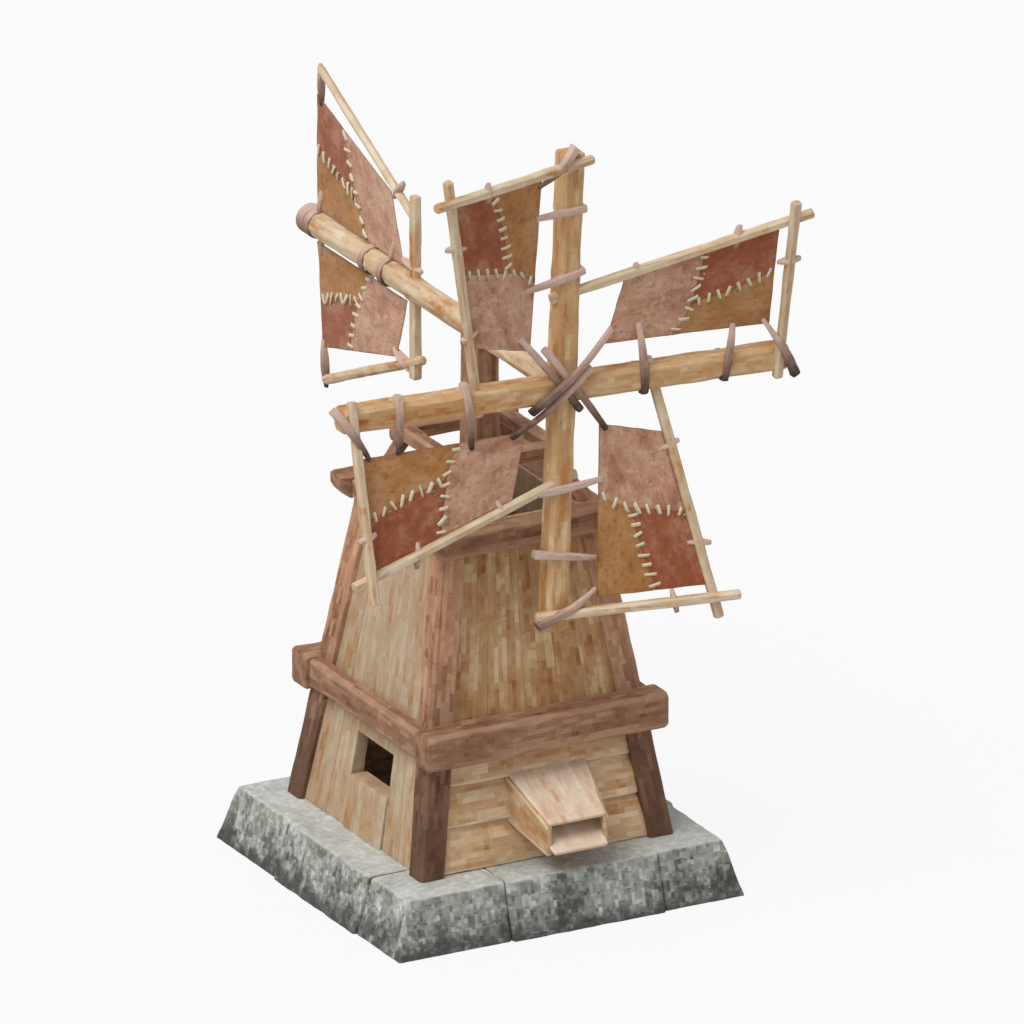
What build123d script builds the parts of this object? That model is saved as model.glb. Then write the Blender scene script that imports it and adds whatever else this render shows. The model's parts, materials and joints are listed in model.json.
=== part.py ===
from build123d import *
import os
from math import cos, hypot, radians, sin

# Small hand-built windmill: a stone plinth, a tapered tower of boards between four leaning corner
# posts, a turning head on a centre post, and a four-armed rotor with patchwork hide sails.
#
# Frame: millimetres, +Z up, the front of the tower (flour chute, rotor) faces -Y, the hatch wall
# faces -X. The origin is the centre of the plinth's underside.

# ---------------------------------------------------------------- driving dimensions
# plinth
plinth_width = 3000
plinth_height = 450
plinth_batter = 127  # each side leans in by this much over the plinth's height
plinth_ring = 690  # depth of the ring of blocks, measured from the outer foot
long_block = 980  # the longer leg of a corner block
plinth_edge_radius = 45
stone_joint = 8
floor_drop = 12  # the floor lies this much below the plinth's top

# tower posts
post_size = 212
post_arris = 14
post_foot_reach = 1110  # from the centre plane to a post's outer face, at the foot
post_top_reach = 690  # the same at the head
post_height = 2690

# walls
wall_thickness = 110
wall_setback = 50  # the wall's outer face lies this far inside the posts' outer faces
wall_top_drop = 20  # the walls stop this far under the posts' heads
lower_boards_top = 1500  # the front and back change from level to upright boards here

# belt rails, about a third of the way up
belt_bottom = 1347
belt_height = 292
belt_depth = 250
belt_face = 1137  # front and back rails' outer face
belt_length = 2110
side_belt_bottom = 1372
side_belt_height = 240
side_belt_depth = 145
side_belt_face = 1032
rail_arris = 28

# top rails
top_rail_bottom = 2950
top_rail_height = 215
top_rail_depth = 185
top_rail_face = 858
top_rail_length = 1576
side_top_bottom = 2965
side_top_height = 180
side_top_depth = 130
side_top_face = 770

# hatch in the left wall
hatch_front = -345
hatch_width = 600
hatch_bottom = 880
hatch_height = 335
sill_board_overlap = 70
sill_board_thickness = 42

# flour chute
chute_centre = 74
chute_cheek = 45  # thickness of a cheek board
chute_board = 34  # thickness of the lid and of the tray
chute_reach = 505  # how far the lid's lip stands out from the lid's head
chute_back_half = 364  # half the width over the cheeks, at the wall
chute_front_half = 268  # the same at the mouth
chute_lid_inset = 24  # the lid stops this far inside the cheeks' outer faces
lid_head_z = 1128
lid_drop = 267
tray_head_z = 872
tray_drop = 150
tray_lip = 30  # the tray runs this far past the lid's lip
lip_rounding = 0.42  # radius of a board's rounded lip, as a share of its thickness
board_fit = 0.5
cheek_foot_back_z = 775
cheek_foot_front_z = 640

# upper frame
frame_reach = 485
frame_beam = 120
frame_bottom = 3480
frame_overhang = 55
strut_size = 112

# turning head
mast_size = 244
mast_arris = 30
mast_top = 4512
mast_pin_radius = 60
mast_pin_depth = 70
saddle_mouth = 160  # width of the saddle's opening in the mast's head
pin_clearance = 3
shaft_z = 4436
shaft_back = 2850
shaft_back_radius = 106
shaft_front_radius = 92
rotor_gap = 42  # between the windshaft's front end and the rotor

# tail
upright_y = 1058
upright_width = 84
upright_depth = 74
upright_arris = 8
upright_bottom = 3686
upright_top = 5195
tail_top_radius = 32
tail_bottom_radius = 42
tail_top_low = (upright_y, 5000)
tail_top_high = (2630, 5738)
tail_bottom_low = (2545, 3176)
tail_bottom_high = (930, 3880)
hide_thickness = 12
tail_upper_hide = [(2672, 4560), (2662, 5440), (1450, 5100), (1239, 4560)]
tail_lower_hide = [(2668, 4285), (2592, 3434), (1355, 3768), (1190, 4285)]

# rotor
rotor_lean = 2.25  # the rotor stands at rest this many degrees clockwise, seen from the front
upright_stock_y = -1330
stock_offset = 30  # the level stock stands this far in front of the upright one
upright_stock_size = 172
level_stock_size = 184
stock_arris = 34
stock_half_length = 1932
axle_radius = 30
axle_depth = 150
sail_pole = 66
sail_pole_arris = 15

# sail outline on one arm: distance out along the arm, distance to the side, height above the arm's face
tip_pole_near = (1841, -163, -22)
tip_pole_far = (1759, 1399, 321)
edge_pole_inner = (-140, 728, -105)
edge_pole_outer = (1954, 1262, 243)
hide_tip_far = (1690, 1146, 193)
hide_tip_near = (1738, 311, 1)
hide_root_near = (338, 316, -70)
hide_root_far = (454, 818, -16)

# rawhide thongs
thong_thickness = 9
thong_width = 34
thong_play = 1  # between a thong and the timber that it goes round
thong_slot_radius = 7  # half the length of the slot that a thong leaves in a hide
thong_edge_distance = 22  # from a hide's edge to the slots in it
tip_thong_width = 62
tip_thong_ends = ((1925, -100), (1668, 342))  # out along the arm and to its side
tip_thong_over = (-40, 165)  # distances to the side between which it lies on the tip pole
arm_thong_places = (852, 1414)  # distances out along the arm
edge_thong_places = (572, 1340)
tip_pole_thong_place = 907  # distance to the side of the arm
hub_thong_width = 36
hub_thong_end = (439, 376)  # where a hub thong enters the sail, on that sail's arm
hub_thong_other_end = (-252, -120)  # where it turns round the opposite arm
hub_thong_leg = 78  # how far its ends reach back from the rotor's face
hub_thong_slack = 16  # between the stock's side and the thong's turn
shaft_thong_places = (1566, 1928, 2700)
tail_thong_ends = [  # on the timber, and in the hide
    ((2612, 5730), (2650, 5400)),
    ((1392, 5157), (1478, 5075)),
    ((2518, 3188), (2578, 3462)),
    ((1288, 3724), (1385, 3800)),
]
upright_thong_ends = [((1058, 4610), (1268, 4592)), ((1058, 4262), (1222, 4250))]

# ---------------------------------------------------------------- derived sizes
plinth_half = plinth_width / 2
post_foot = plinth_height
post_head = post_foot + post_height
post_lean = (post_foot_reach - post_top_reach) / post_height
floor_half = plinth_half - plinth_ring
floor_top = plinth_height - floor_drop
corners = [(-1, -1), (1, -1), (1, 1), (-1, 1)]
quarter_turns = [0, 90, 180, 270]


def reach_at(z):
    """Distance from the centre plane to the posts' outer faces at height z."""
    return post_foot_reach - post_lean * (z - post_foot)


def timber(start, end, width, depth, arris, across):
    """Straight squared timber from start to end with its long edges taken off."""
    axis = Vector(*end) - Vector(*start)
    with BuildPart() as piece:
        with BuildSketch(Plane(origin=start, x_dir=across, z_dir=axis)) as section:
            Rectangle(width, depth)
            chamfer(section.vertices(), arris)
        extrude(amount=axis.length)
    return piece.part


def round_pole(start, end, start_radius, end_radius):
    """Straight round pole that tapers from one end to the other."""
    axis = Vector(*end) - Vector(*start)
    foot = Plane(origin=start, z_dir=axis)
    with BuildPart() as piece:
        with BuildSketch(foot):
            Circle(start_radius)
        with BuildSketch(foot.offset(axis.length)):
            Circle(end_radius)
        loft()
    return piece.part


def rail(foot, length, depth, height, run):
    """Level squared rail with hewn edges, standing on the given point; run is the direction of its length."""
    size = (length, depth, height) if run == Axis.X else (depth, length, height)
    with BuildPart() as piece:
        with Locations(foot):
            Box(*size, align=(Align.CENTER, Align.CENTER, Align.MIN))
        chamfer(piece.edges().filter_by(run), rail_arris)
    return piece.part


def wall_slab(side, bottom, top):
    """Leaning wall slab between two corner posts, on the side that faces along the given unit vector."""
    with BuildPart() as slab:
        for z in (bottom, top):
            reach = reach_at(z)
            middle = reach - wall_setback - wall_thickness / 2
            length = 2 * (reach - post_size)
            wide, deep = (wall_thickness, length) if side[0] else (length, wall_thickness)
            with BuildSketch(Plane.XY.offset(z)):
                with Locations((side[0] * middle, side[1] * middle)):
                    Rectangle(wide, deep)
        loft(ruled=True)
    return slab.part


# ---------------------------------------------------------------- plinth
def edge_reach(edge):
    """Distance of an edge's middle from the nearer of the two centre planes' normals, along X or Y."""
    middle = edge.center()
    return max(abs(middle.X), abs(middle.Y))


def battered_block(low, high, faces):
    """Plinth block over the rectangle low..high; faces lists the sides that are battered outer faces."""
    with BuildPart() as block:
        for z in (0, plinth_height):
            lean = plinth_batter * z / plinth_height
            x0 = low[0] + (lean if "-x" in faces else stone_joint / 2)
            x1 = high[0] - (lean if "+x" in faces else stone_joint / 2)
            y0 = low[1] + (lean if "-y" in faces else stone_joint / 2)
            y1 = high[1] - (lean if "+y" in faces else stone_joint / 2)
            with BuildSketch(Plane.XY.offset(z)):
                with Locations(((x0 + x1) / 2, (y0 + y1) / 2)):
                    Rectangle(x1 - x0, y1 - y0)
        loft(ruled=True)
        rim = plinth_half - plinth_batter
        top_edges = block.faces().sort_by(Axis.Z)[-1].edges()
        outer_edges = [edge for edge in top_edges if edge_reach(edge) > rim - stone_joint]
        fillet(outer_edges, plinth_edge_radius)
    return block.part


with BuildPart() as plinth_corner_blocks:
    # the long leg of each corner block lies along the side to its right, seen from outside
    first = battered_block(
        (-plinth_half, -plinth_half), (-plinth_half + long_block, -floor_half), ("-x", "-y")
    )
    for turn in quarter_turns:
        add(first.rotate(Axis.Z, turn))

with BuildPart() as plinth_middle_blocks:
    first = battered_block((-plinth_half + long_block, -plinth_half), (floor_half, -floor_half), ("-y",))
    for turn in quarter_turns:
        add(first.rotate(Axis.Z, turn))

with BuildPart() as floor_slab:
    with BuildSketch():
        Rectangle(2 * floor_half - stone_joint, 2 * floor_half - stone_joint)
    extrude(amount=floor_top)
    # the corner blocks reach past the ring here, and the mast's pin turns in a socket
    add(plinth_corner_blocks.part, mode=Mode.SUBTRACT)
    with Locations((0, 0, floor_top)):
        Hole(mast_pin_radius + pin_clearance, depth=mast_pin_depth + pin_clearance)

# ---------------------------------------------------------------- rails round the tower
belt_middle = belt_face - belt_depth / 2
side_belt_middle = side_belt_face - side_belt_depth / 2
side_belt_length = 2 * (belt_face - belt_depth)
with BuildPart() as belt_rail_front:
    add(rail((0, -belt_middle, belt_bottom), belt_length, belt_depth, belt_height, Axis.X))
with BuildPart() as belt_rail_back:
    add(rail((0, belt_middle, belt_bottom), belt_length, belt_depth, belt_height, Axis.X))
with BuildPart() as belt_rail_left:
    add(rail((-side_belt_middle, 0, side_belt_bottom), side_belt_length, side_belt_depth, side_belt_height, Axis.Y))
with BuildPart() as belt_rail_right:
    add(rail((side_belt_middle, 0, side_belt_bottom), side_belt_length, side_belt_depth, side_belt_height, Axis.Y))

top_middle = top_rail_face - top_rail_depth / 2
side_top_middle = side_top_face - side_top_depth / 2
side_top_length = 2 * (top_rail_face - top_rail_depth)
with BuildPart() as top_rail_front:
    add(rail((0, -top_middle, top_rail_bottom), top_rail_length, top_rail_depth, top_rail_height, Axis.X))
with BuildPart() as top_rail_back:
    add(rail((0, top_middle, top_rail_bottom), top_rail_length, top_rail_depth, top_rail_height, Axis.X))
with BuildPart() as top_rail_left:
    add(rail((-side_top_middle, 0, side_top_bottom), side_top_length, side_top_depth, side_top_height, Axis.Y))
with BuildPart() as top_rail_right:
    add(rail((side_top_middle, 0, side_top_bottom), side_top_length, side_top_depth, side_top_height, Axis.Y))

rails = [
    belt_rail_front,
    belt_rail_back,
    belt_rail_left,
    belt_rail_right,
    top_rail_front,
    top_rail_back,
    top_rail_left,
    top_rail_right,
]

# ---------------------------------------------------------------- corner posts and walls
with BuildPart() as corner_posts:
    for sx, sy in corners:
        for z in (post_foot, post_head):
            with BuildSketch(Plane.XY.offset(z)) as section:
                centre = reach_at(z) - post_size / 2
                with Locations((sx * centre, sy * centre)):
                    Rectangle(post_size, post_size)
                chamfer(section.vertices(), post_arris)
        loft(ruled=True)
    # the rails are let into the posts' outer faces
    for rail_piece in rails:
        add(rail_piece.part, mode=Mode.SUBTRACT)

wall_top = post_head - wall_top_drop
with BuildPart() as front_wall_lower:
    add(wall_slab((0, -1), post_foot, lower_boards_top))
    add(belt_rail_front.part, mode=Mode.SUBTRACT)
    # the flour's way through the wall, between the chute's lid and tray
    with BuildSketch(Plane.XZ):
        with Locations((chute_centre, (tray_head_z + lid_head_z) / 2)):
            Rectangle(2 * (chute_back_half - 2 * chute_cheek), lid_head_z - tray_head_z - 2 * board_fit)
    extrude(amount=plinth_half, mode=Mode.SUBTRACT)
with BuildPart() as front_wall_upper:
    add(wall_slab((0, -1), lower_boards_top, wall_top))
    add(belt_rail_front.part, mode=Mode.SUBTRACT)
    add(top_rail_front.part, mode=Mode.SUBTRACT)
with BuildPart() as back_wall_lower:
    add(wall_slab((0, 1), post_foot, lower_boards_top))
    add(belt_rail_back.part, mode=Mode.SUBTRACT)
with BuildPart() as back_wall_upper:
    add(wall_slab((0, 1), lower_boards_top, wall_top))
    add(belt_rail_back.part, mode=Mode.SUBTRACT)
    add(top_rail_back.part, mode=Mode.SUBTRACT)
with BuildPart() as right_wall:
    add(wall_slab((1, 0), post_foot, wall_top))
    add(belt_rail_right.part, mode=Mode.SUBTRACT)
    add(top_rail_right.part, mode=Mode.SUBTRACT)
with BuildPart() as left_wall:
    add(wall_slab((-1, 0), post_foot, wall_top))
    add(belt_rail_left.part, mode=Mode.SUBTRACT)
    add(top_rail_left.part, mode=Mode.SUBTRACT)
    with BuildSketch(Plane.YZ.offset(-post_foot_reach)):
        with Locations((hatch_front + hatch_width / 2, hatch_bottom + hatch_height / 2)):
            Rectangle(hatch_width, hatch_height)
    extrude(amount=post_foot_reach, mode=Mode.SUBTRACT)

# board under the hatch, nailed on the wall's outer face
with BuildPart() as hatch_sill_board:
    for z in (plinth_height, hatch_bottom):
        face = reach_at(z) - wall_setback
        with BuildSketch(Plane.XY.offset(z)):
            with Locations((-face - sill_board_thickness / 2, hatch_front + hatch_width / 2)):
                Rectangle(sill_board_thickness, hatch_width + 2 * sill_board_overlap)
    loft(ruled=True)

# ---------------------------------------------------------------- flour chute on the front wall
lid_head_y = -(reach_at(lid_head_z) - wall_setback)
lip_y = lid_head_y - chute_reach
tray_lip_y = lip_y - tray_lip
lid_slope = lid_drop / chute_reach
tray_slope = tray_drop / chute_reach


def wall_face_y(z):
    """Y of the front wall's outer face at height z."""
    return -(reach_at(z) - wall_setback)


def chute_half(y):
    """Half the width over the cheeks at depth y."""
    return chute_back_half + (chute_front_half - chute_back_half) * (lid_head_y - y) / chute_reach


def chute_plan(back_y, front_y, inset):
    """Corners of a board that tapers with the cheeks, seen from above."""
    return [
        (chute_centre - chute_half(back_y) + inset, back_y),
        (chute_centre + chute_half(back_y) - inset, back_y),
        (chute_centre + chute_half(front_y) - inset, front_y),
        (chute_centre - chute_half(front_y) + inset, front_y),
    ]


def chute_board_part(under_z, slope, front_y, inset):
    """Sloping board with a rounded lip; under_z is the height of its underside where it meets the wall."""
    back_y = wall_face_y(under_z)
    top_z = under_z + chute_board
    fall = slope * (back_y - front_y)
    with BuildPart() as board:
        with BuildSketch():
            with BuildLine():
                Polyline(*chute_plan(back_y, front_y, inset), close=True)
            make_face()
        extrude(amount=post_head)
        with BuildSketch(Plane.YZ, mode=Mode.PRIVATE) as profile:
            with BuildLine():
                Polyline(
                    (back_y, under_z),
                    (front_y, under_z - fall),
                    (front_y, top_z - fall),
                    (back_y, top_z),
                    close=True,
                )
            make_face()
        extrude(profile.sketch, amount=plinth_half, both=True, mode=Mode.INTERSECT)
        fillet(board.edges().filter_by(Axis.X).sort_by(Axis.Y)[:2], chute_board * lip_rounding)
    return board.part


with BuildPart() as chute_lid:
    add(chute_board_part(lid_head_z, lid_slope, lip_y, chute_lid_inset))
with BuildPart() as chute_tray:
    add(chute_board_part(tray_head_z - chute_board, tray_slope, tray_lip_y, chute_cheek + board_fit))

cheeks = []
for hand in (-1, 1):
    with BuildPart() as cheek:
        foot_y = wall_face_y(cheek_foot_back_z)
        with BuildSketch():
            with BuildLine():
                Polyline(
                    (chute_centre + hand * chute_half(lid_head_y), lid_head_y),
                    (chute_centre + hand * chute_half(lip_y), lip_y),
                    (chute_centre + hand * (chute_half(lip_y) - chute_cheek), lip_y),
                    (chute_centre + hand * (chute_half(lid_head_y) - chute_cheek), lid_head_y),
                    close=True,
                )
            make_face()
        extrude(amount=post_head)
        with BuildSketch(Plane.YZ, mode=Mode.PRIVATE) as profile:
            with BuildLine():
                Polyline(
                    (lid_head_y, lid_head_z),
                    (lip_y, lid_head_z - lid_drop),
                    (lip_y, cheek_foot_front_z),
                    (foot_y, cheek_foot_back_z),
                    close=True,
                )
            make_face()
        extrude(profile.sketch, amount=plinth_half, both=True, mode=Mode.INTERSECT)
    cheeks.append(cheek)
chute_cheek_left, chute_cheek_right = cheeks

# ---------------------------------------------------------------- frame over the tower
beam_middle = frame_reach - frame_beam / 2
with BuildPart() as upper_beams_side:
    for side in (-1, 1):
        add(rail((side * beam_middle, 0, frame_bottom), 2 * (frame_reach - frame_beam), frame_beam, frame_beam, Axis.Y))
with BuildPart() as upper_beams_cross:
    for side in (-1, 1):
        add(rail((0, side * beam_middle, frame_bottom), 2 * (frame_reach + frame_overhang), frame_beam, frame_beam, Axis.X))

with BuildPart() as frame_struts:
    for sx, sy in corners:
        for z, reach in ((post_head, post_top_reach - (post_size - strut_size) / 2), (frame_bottom, frame_reach)):
            with BuildSketch(Plane.XY.offset(z)) as section:
                centre = reach - strut_size / 2
                with Locations((sx * centre, sy * centre)):
                    Rectangle(strut_size, strut_size)
                chamfer(section.vertices(), post_arris)
        loft(ruled=True)

# ---------------------------------------------------------------- turning head
rotor_back_y = upright_stock_y + upright_stock_size / 2
shaft_front_y = rotor_back_y + rotor_gap
shaft_tail = (0, shaft_back, shaft_z)
shaft_nose = (0, shaft_front_y, shaft_z)

with BuildPart() as windshaft:
    add(round_pole(shaft_tail, shaft_nose, shaft_back_radius, shaft_front_radius))
    # blind bore for the rotor's axle, and a mortise for the tail's upright
    with BuildSketch(Plane(origin=shaft_nose, z_dir=(0, 1, 0))):
        Circle(axle_radius + pin_clearance)
    extrude(amount=axle_depth + pin_clearance, mode=Mode.SUBTRACT)
    with Locations((0, upright_y, shaft_z)):
        Box(upright_depth, upright_width, 4 * shaft_back_radius, mode=Mode.SUBTRACT)

with BuildPart() as main_mast:
    with BuildSketch(Plane.XY.offset(floor_top + pin_clearance)) as section:
        Rectangle(mast_size, mast_size)
        chamfer(section.vertices(), mast_arris)
    extrude(amount=mast_top - floor_top - pin_clearance)
    with BuildSketch(Plane.XY.offset(floor_top + pin_clearance)):
        Circle(mast_pin_radius)
    extrude(amount=-mast_pin_depth)
    # the windshaft lies in a saddle cut through the mast's head
    add(windshaft.part, mode=Mode.SUBTRACT)
    with Locations((0, 0, shaft_z + shaft_back_radius)):
        Box(saddle_mouth, 2 * mast_size, 2 * shaft_back_radius, mode=Mode.SUBTRACT)

with BuildPart() as tail_upright:
    add(
        timber(
            (0, upright_y, upright_bottom),
            (0, upright_y, upright_top),
            upright_depth,
            upright_width,
            upright_arris,
            (1, 0, 0),
        )
    )

with BuildPart() as tail_top_pole:
    add(round_pole((0, *tail_top_low), (0, *tail_top_high), tail_top_radius, tail_top_radius))
    add(tail_upright.part, mode=Mode.SUBTRACT)

with BuildPart() as tail_bottom_pole:
    add(round_pole((0, *tail_bottom_low), (0, *tail_bottom_high), tail_bottom_radius, tail_bottom_radius))
    add(tail_upright.part, mode=Mode.SUBTRACT)


def tail_hide(outline):
    """Flat hide in the middle plane of the tail."""
    with BuildPart() as hide:
        with BuildSketch(Plane.YZ):
            with BuildLine():
                Polyline(*outline, close=True)
            make_face()
        extrude(amount=hide_thickness / 2, both=True)
    return hide.part




def thong(loop, places, width):
    """Closed thong pulled round places (x, y, radius) on a plane, as wide as stated across that plane."""
    with BuildPart() as strap:
        for spare, mode in ((thong_thickness, Mode.ADD), (0, Mode.SUBTRACT)):
            with BuildSketch(loop):
                for x, y, radius in places:
                    with Locations((x, y)):
                        Circle(radius + spare)
                make_hull()
            extrude(amount=width / 2, both=True, mode=mode)
    return strap.part


def tail_thong(pole_point, slot_point, pole_radius):
    """Thong round a timber of the tail and through a slot in a hide, both given as (y, z)."""
    start = Vector(0, *pole_point)
    pull = Vector(0, *slot_point) - start
    loop = Plane(origin=start, x_dir=pull, z_dir=pull.cross(Vector(1, 0, 0)))
    return thong(loop, [(0, 0, pole_radius + thong_play), (pull.length, 0, thong_slot_radius)], thong_width)


with BuildPart() as tail_thongs:
    upper, lower = tail_thong_ends[:2], tail_thong_ends[2:]
    for ends in upper:
        add(tail_thong(*ends, tail_top_radius))
    for ends in lower:
        add(tail_thong(*ends, tail_bottom_radius))
    for ends in upright_thong_ends:
        add(tail_thong(*ends, hypot(upright_width, upright_depth) / 2))
    upper_slot = tail_upper_hide[0][1] + thong_edge_distance - shaft_z
    lower_slot = tail_lower_hide[0][1] - thong_edge_distance - shaft_z
    for y in shaft_thong_places:
        slots = [(0, slot, thong_slot_radius) for slot in (upper_slot, lower_slot)]
        loop = Plane(origin=(0, y, shaft_z), x_dir=(1, 0, 0), z_dir=(0, -1, 0))
        add(thong(loop, [(0, 0, shaft_back_radius + thong_play), *slots], thong_width))
    for timber_piece in (windshaft, tail_upright, tail_top_pole, tail_bottom_pole):
        add(timber_piece.part, mode=Mode.SUBTRACT)

with BuildPart() as tail_hide_upper:
    add(tail_hide(tail_upper_hide))
    add(tail_thongs.part, mode=Mode.SUBTRACT)
with BuildPart() as tail_hide_lower:
    add(tail_hide(tail_lower_hide))
    add(tail_thongs.part, mode=Mode.SUBTRACT)

# ---------------------------------------------------------------- rotor
level_stock_y = upright_stock_y - stock_offset
sail_face_y = level_stock_y - level_stock_size / 2
lean = radians(rotor_lean)


def rotor_plane(y):
    """Plane of the rotor at depth y: local X along the level stock, local Y up the upright one."""
    return Plane(origin=(0, y, shaft_z), x_dir=(cos(lean), 0, -sin(lean)), z_dir=(0, -1, 0))


# arm planes: local X runs out along the arm, local Y to the sail's side, local Z forwards
arm_turns = {"right": 0, "top": 90, "left": 180, "bottom": 270}


def arm_plane(turn):
    """Plane on the rotor's face whose X axis is the rotor's X axis turned by this many degrees."""
    face = rotor_plane(sail_face_y)
    out = face.x_dir * cos(radians(turn)) + face.y_dir * sin(radians(turn))
    return Plane(origin=face.origin, x_dir=out, z_dir=face.z_dir)


arms = {name: arm_plane(turn) for name, turn in arm_turns.items()}


def on_arm(arm, point):
    """Point given along, beside and above an arm, in the frame of the whole mill."""
    return arm.from_local_coords(Vector(*point))


def arm_pole(arm, near, far):
    """Squared sail pole between two points given on the arm."""
    return timber(on_arm(arm, near), on_arm(arm, far), sail_pole, sail_pole, sail_pole_arris, arm.z_dir)


with BuildPart() as sail_edge_poles:
    for arm in arms.values():
        add(arm_pole(arm, edge_pole_inner, edge_pole_outer))

with BuildPart() as sail_tip_poles:
    for arm in arms.values():
        add(arm_pole(arm, tip_pole_near, tip_pole_far))
    # each tip pole is notched over the edge pole that it crosses
    add(sail_edge_poles.part, mode=Mode.SUBTRACT)


def stock(y, size, turn):
    """Squared stock across the whole rotor with tapered ends."""
    face = rotor_plane(y)
    direction = face.x_dir if turn == 0 else face.y_dir
    start = face.origin - direction * stock_half_length
    end = face.origin + direction * stock_half_length
    return timber(start, end, size, size, stock_arris, face.z_dir)


level_lap = rotor_plane((upright_stock_y + level_stock_y) / 2)
with BuildPart() as level_stock:
    add(stock(level_stock_y, level_stock_size, 0))
    # half lap: the back of this stock is cut away where the upright one crosses
    with BuildSketch(level_lap):
        Rectangle(upright_stock_size, 2 * level_stock_size)
    extrude(amount=-2 * level_stock_size, mode=Mode.SUBTRACT)
    add(sail_edge_poles.part, mode=Mode.SUBTRACT)
    add(sail_tip_poles.part, mode=Mode.SUBTRACT)

with BuildPart() as upright_stock:
    add(stock(upright_stock_y, upright_stock_size, 1))
    with BuildSketch(level_lap):
        Rectangle(2 * upright_stock_size, level_stock_size)
    extrude(amount=2 * upright_stock_size, mode=Mode.SUBTRACT)
    add(sail_edge_poles.part, mode=Mode.SUBTRACT)
    add(sail_tip_poles.part, mode=Mode.SUBTRACT)

with BuildPart() as rotor_axle:
    with BuildSketch(Plane(origin=(0, rotor_back_y, shaft_z), z_dir=(0, 1, 0))):
        Circle(axle_radius)
    extrude(amount=rotor_gap + axle_depth)


def sail_hide(arm):
    """Thin twisted hide, ruled from its root edge to its tip edge."""
    with BuildPart() as hide:
        for near, far in ((hide_root_near, hide_root_far), (hide_tip_near, hide_tip_far)):
            start = on_arm(arm, near)
            edge = on_arm(arm, far) - start
            with BuildSketch(Plane(origin=start, x_dir=edge, z_dir=edge.cross(arm.z_dir))):
                Rectangle(edge.length, hide_thickness, align=(Align.MIN, Align.CENTER))
        loft(ruled=True)
    return hide.part




# ---------------------------------------------------------------- thongs of the rotor
pole_corner = hypot(sail_pole / 2, sail_pole / 2 - sail_pole_arris)
stock_of_arm = {
    "right": (level_stock_size, level_stock_y),
    "top": (upright_stock_size, upright_stock_y),
    "left": (level_stock_size, level_stock_y),
    "bottom": (upright_stock_size, upright_stock_y),
}


def point_at(start, end, value, axis):
    """Point on the line through start and end whose coordinate number axis has the given value."""
    share = (value - start[axis]) / (end[axis] - start[axis])
    return tuple(a + (b - a) * share for a, b in zip(start, end))


def stock_corners(size, middle_y, stretch):
    """Circles (x, y, radius) in the corners of a stock's section, stretched where it is cut aslant."""
    inset = size / 2 - stock_arris
    back = middle_y - sail_face_y
    return [(side * inset * stretch, rise * inset - back, stock_arris + thong_play) for side, rise in corners]


def arm_thong(name, reach):
    """Thong round a stock and through the near edge of the sail beside it."""
    arm = arms[name]
    edge = point_at(hide_root_near, hide_tip_near, reach, 0)
    loop = Plane(origin=on_arm(arm, (reach, 0, 0)), x_dir=arm.y_dir, z_dir=arm.x_dir)
    slot = (edge[1] + thong_edge_distance, edge[2], thong_slot_radius)
    return thong(loop, [*stock_corners(*stock_of_arm[name], 1), slot], thong_width)


def pole_thong(arm, pole, hide_edge, place, axis):
    """Thong round a sail pole and through the sail's edge; place is a coordinate along the pole."""
    start = on_arm(arm, point_at(*pole, place, axis))
    pull = on_arm(arm, point_at(*hide_edge, place, axis)) - start
    along = on_arm(arm, pole[1]) - on_arm(arm, pole[0])
    loop = Plane(origin=start, x_dir=pull, z_dir=pull.cross(along).cross(pull))
    slot = (pull.length + thong_edge_distance, 0, thong_slot_radius)
    return thong(loop, [(0, 0, pole_corner + thong_play), slot], thong_width)


def slanting_loop(arm, ends):
    """Plane of a thong that crosses an arm aslant; its X axis runs from the first to the second end."""
    first, second = (Vector(*end, 0) for end in ends)
    direction = (second - first).normalized()
    origin = first - direction * (first.Y / direction.Y)
    x_dir = arm.x_dir * direction.X + arm.y_dir * direction.Y
    return Plane(origin=on_arm(arm, origin), x_dir=x_dir, z_dir=x_dir.cross(arm.z_dir)), 1 / direction.Y


def tip_thong(name):
    """Broad thong from a stock's end over the tip pole to the corner of the sail."""
    arm = arms[name]
    loop, stretch = slanting_loop(arm, tip_thong_ends)
    over_pole = []
    for side in tip_thong_over:
        height = point_at(tip_pole_near, tip_pole_far, side, 1)[2] + sail_pole / 2
        over_pole.append((side * stretch, height - sail_pole_arris, sail_pole_arris + thong_play))
    slot = (tip_thong_ends[1][1] * stretch, hide_tip_near[2], thong_slot_radius)
    return thong(loop, [*stock_corners(*stock_of_arm[name], stretch), *over_pole, slot], tip_thong_width)


def hub_thong(name):
    """Thong from a sail's inner corner over the crossing of the stocks and round the opposite arm."""
    arm = arms[name]
    size, middle_y = stock_of_arm[name]
    loop, stretch = slanting_loop(arm, (hub_thong_other_end, hub_thong_end))
    radius = thong_slot_radius
    lap = thong_thickness + thong_play if size == level_stock_size else 0
    turn_height = sail_face_y - middle_y + size / 2
    turn = -(size / 2 + hub_thong_slack) * stretch
    places = [
        (hub_thong_end[1] * stretch, hide_root_near[2], radius),
        (upright_stock_size / 2 * stretch, lap - radius, radius),
        (0, lap + thong_play - radius, radius),
        (turn, turn_height + lap - radius, radius),
        (turn, -level_stock_size, radius),
    ]
    with BuildPart() as strap:
        add(thong(loop, places, hub_thong_width))
        split(bisect_by=Plane(origin=on_arm(arm, (0, 0, -hub_thong_leg)), z_dir=arm.z_dir), keep=Keep.TOP)
    return strap.part


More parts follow.
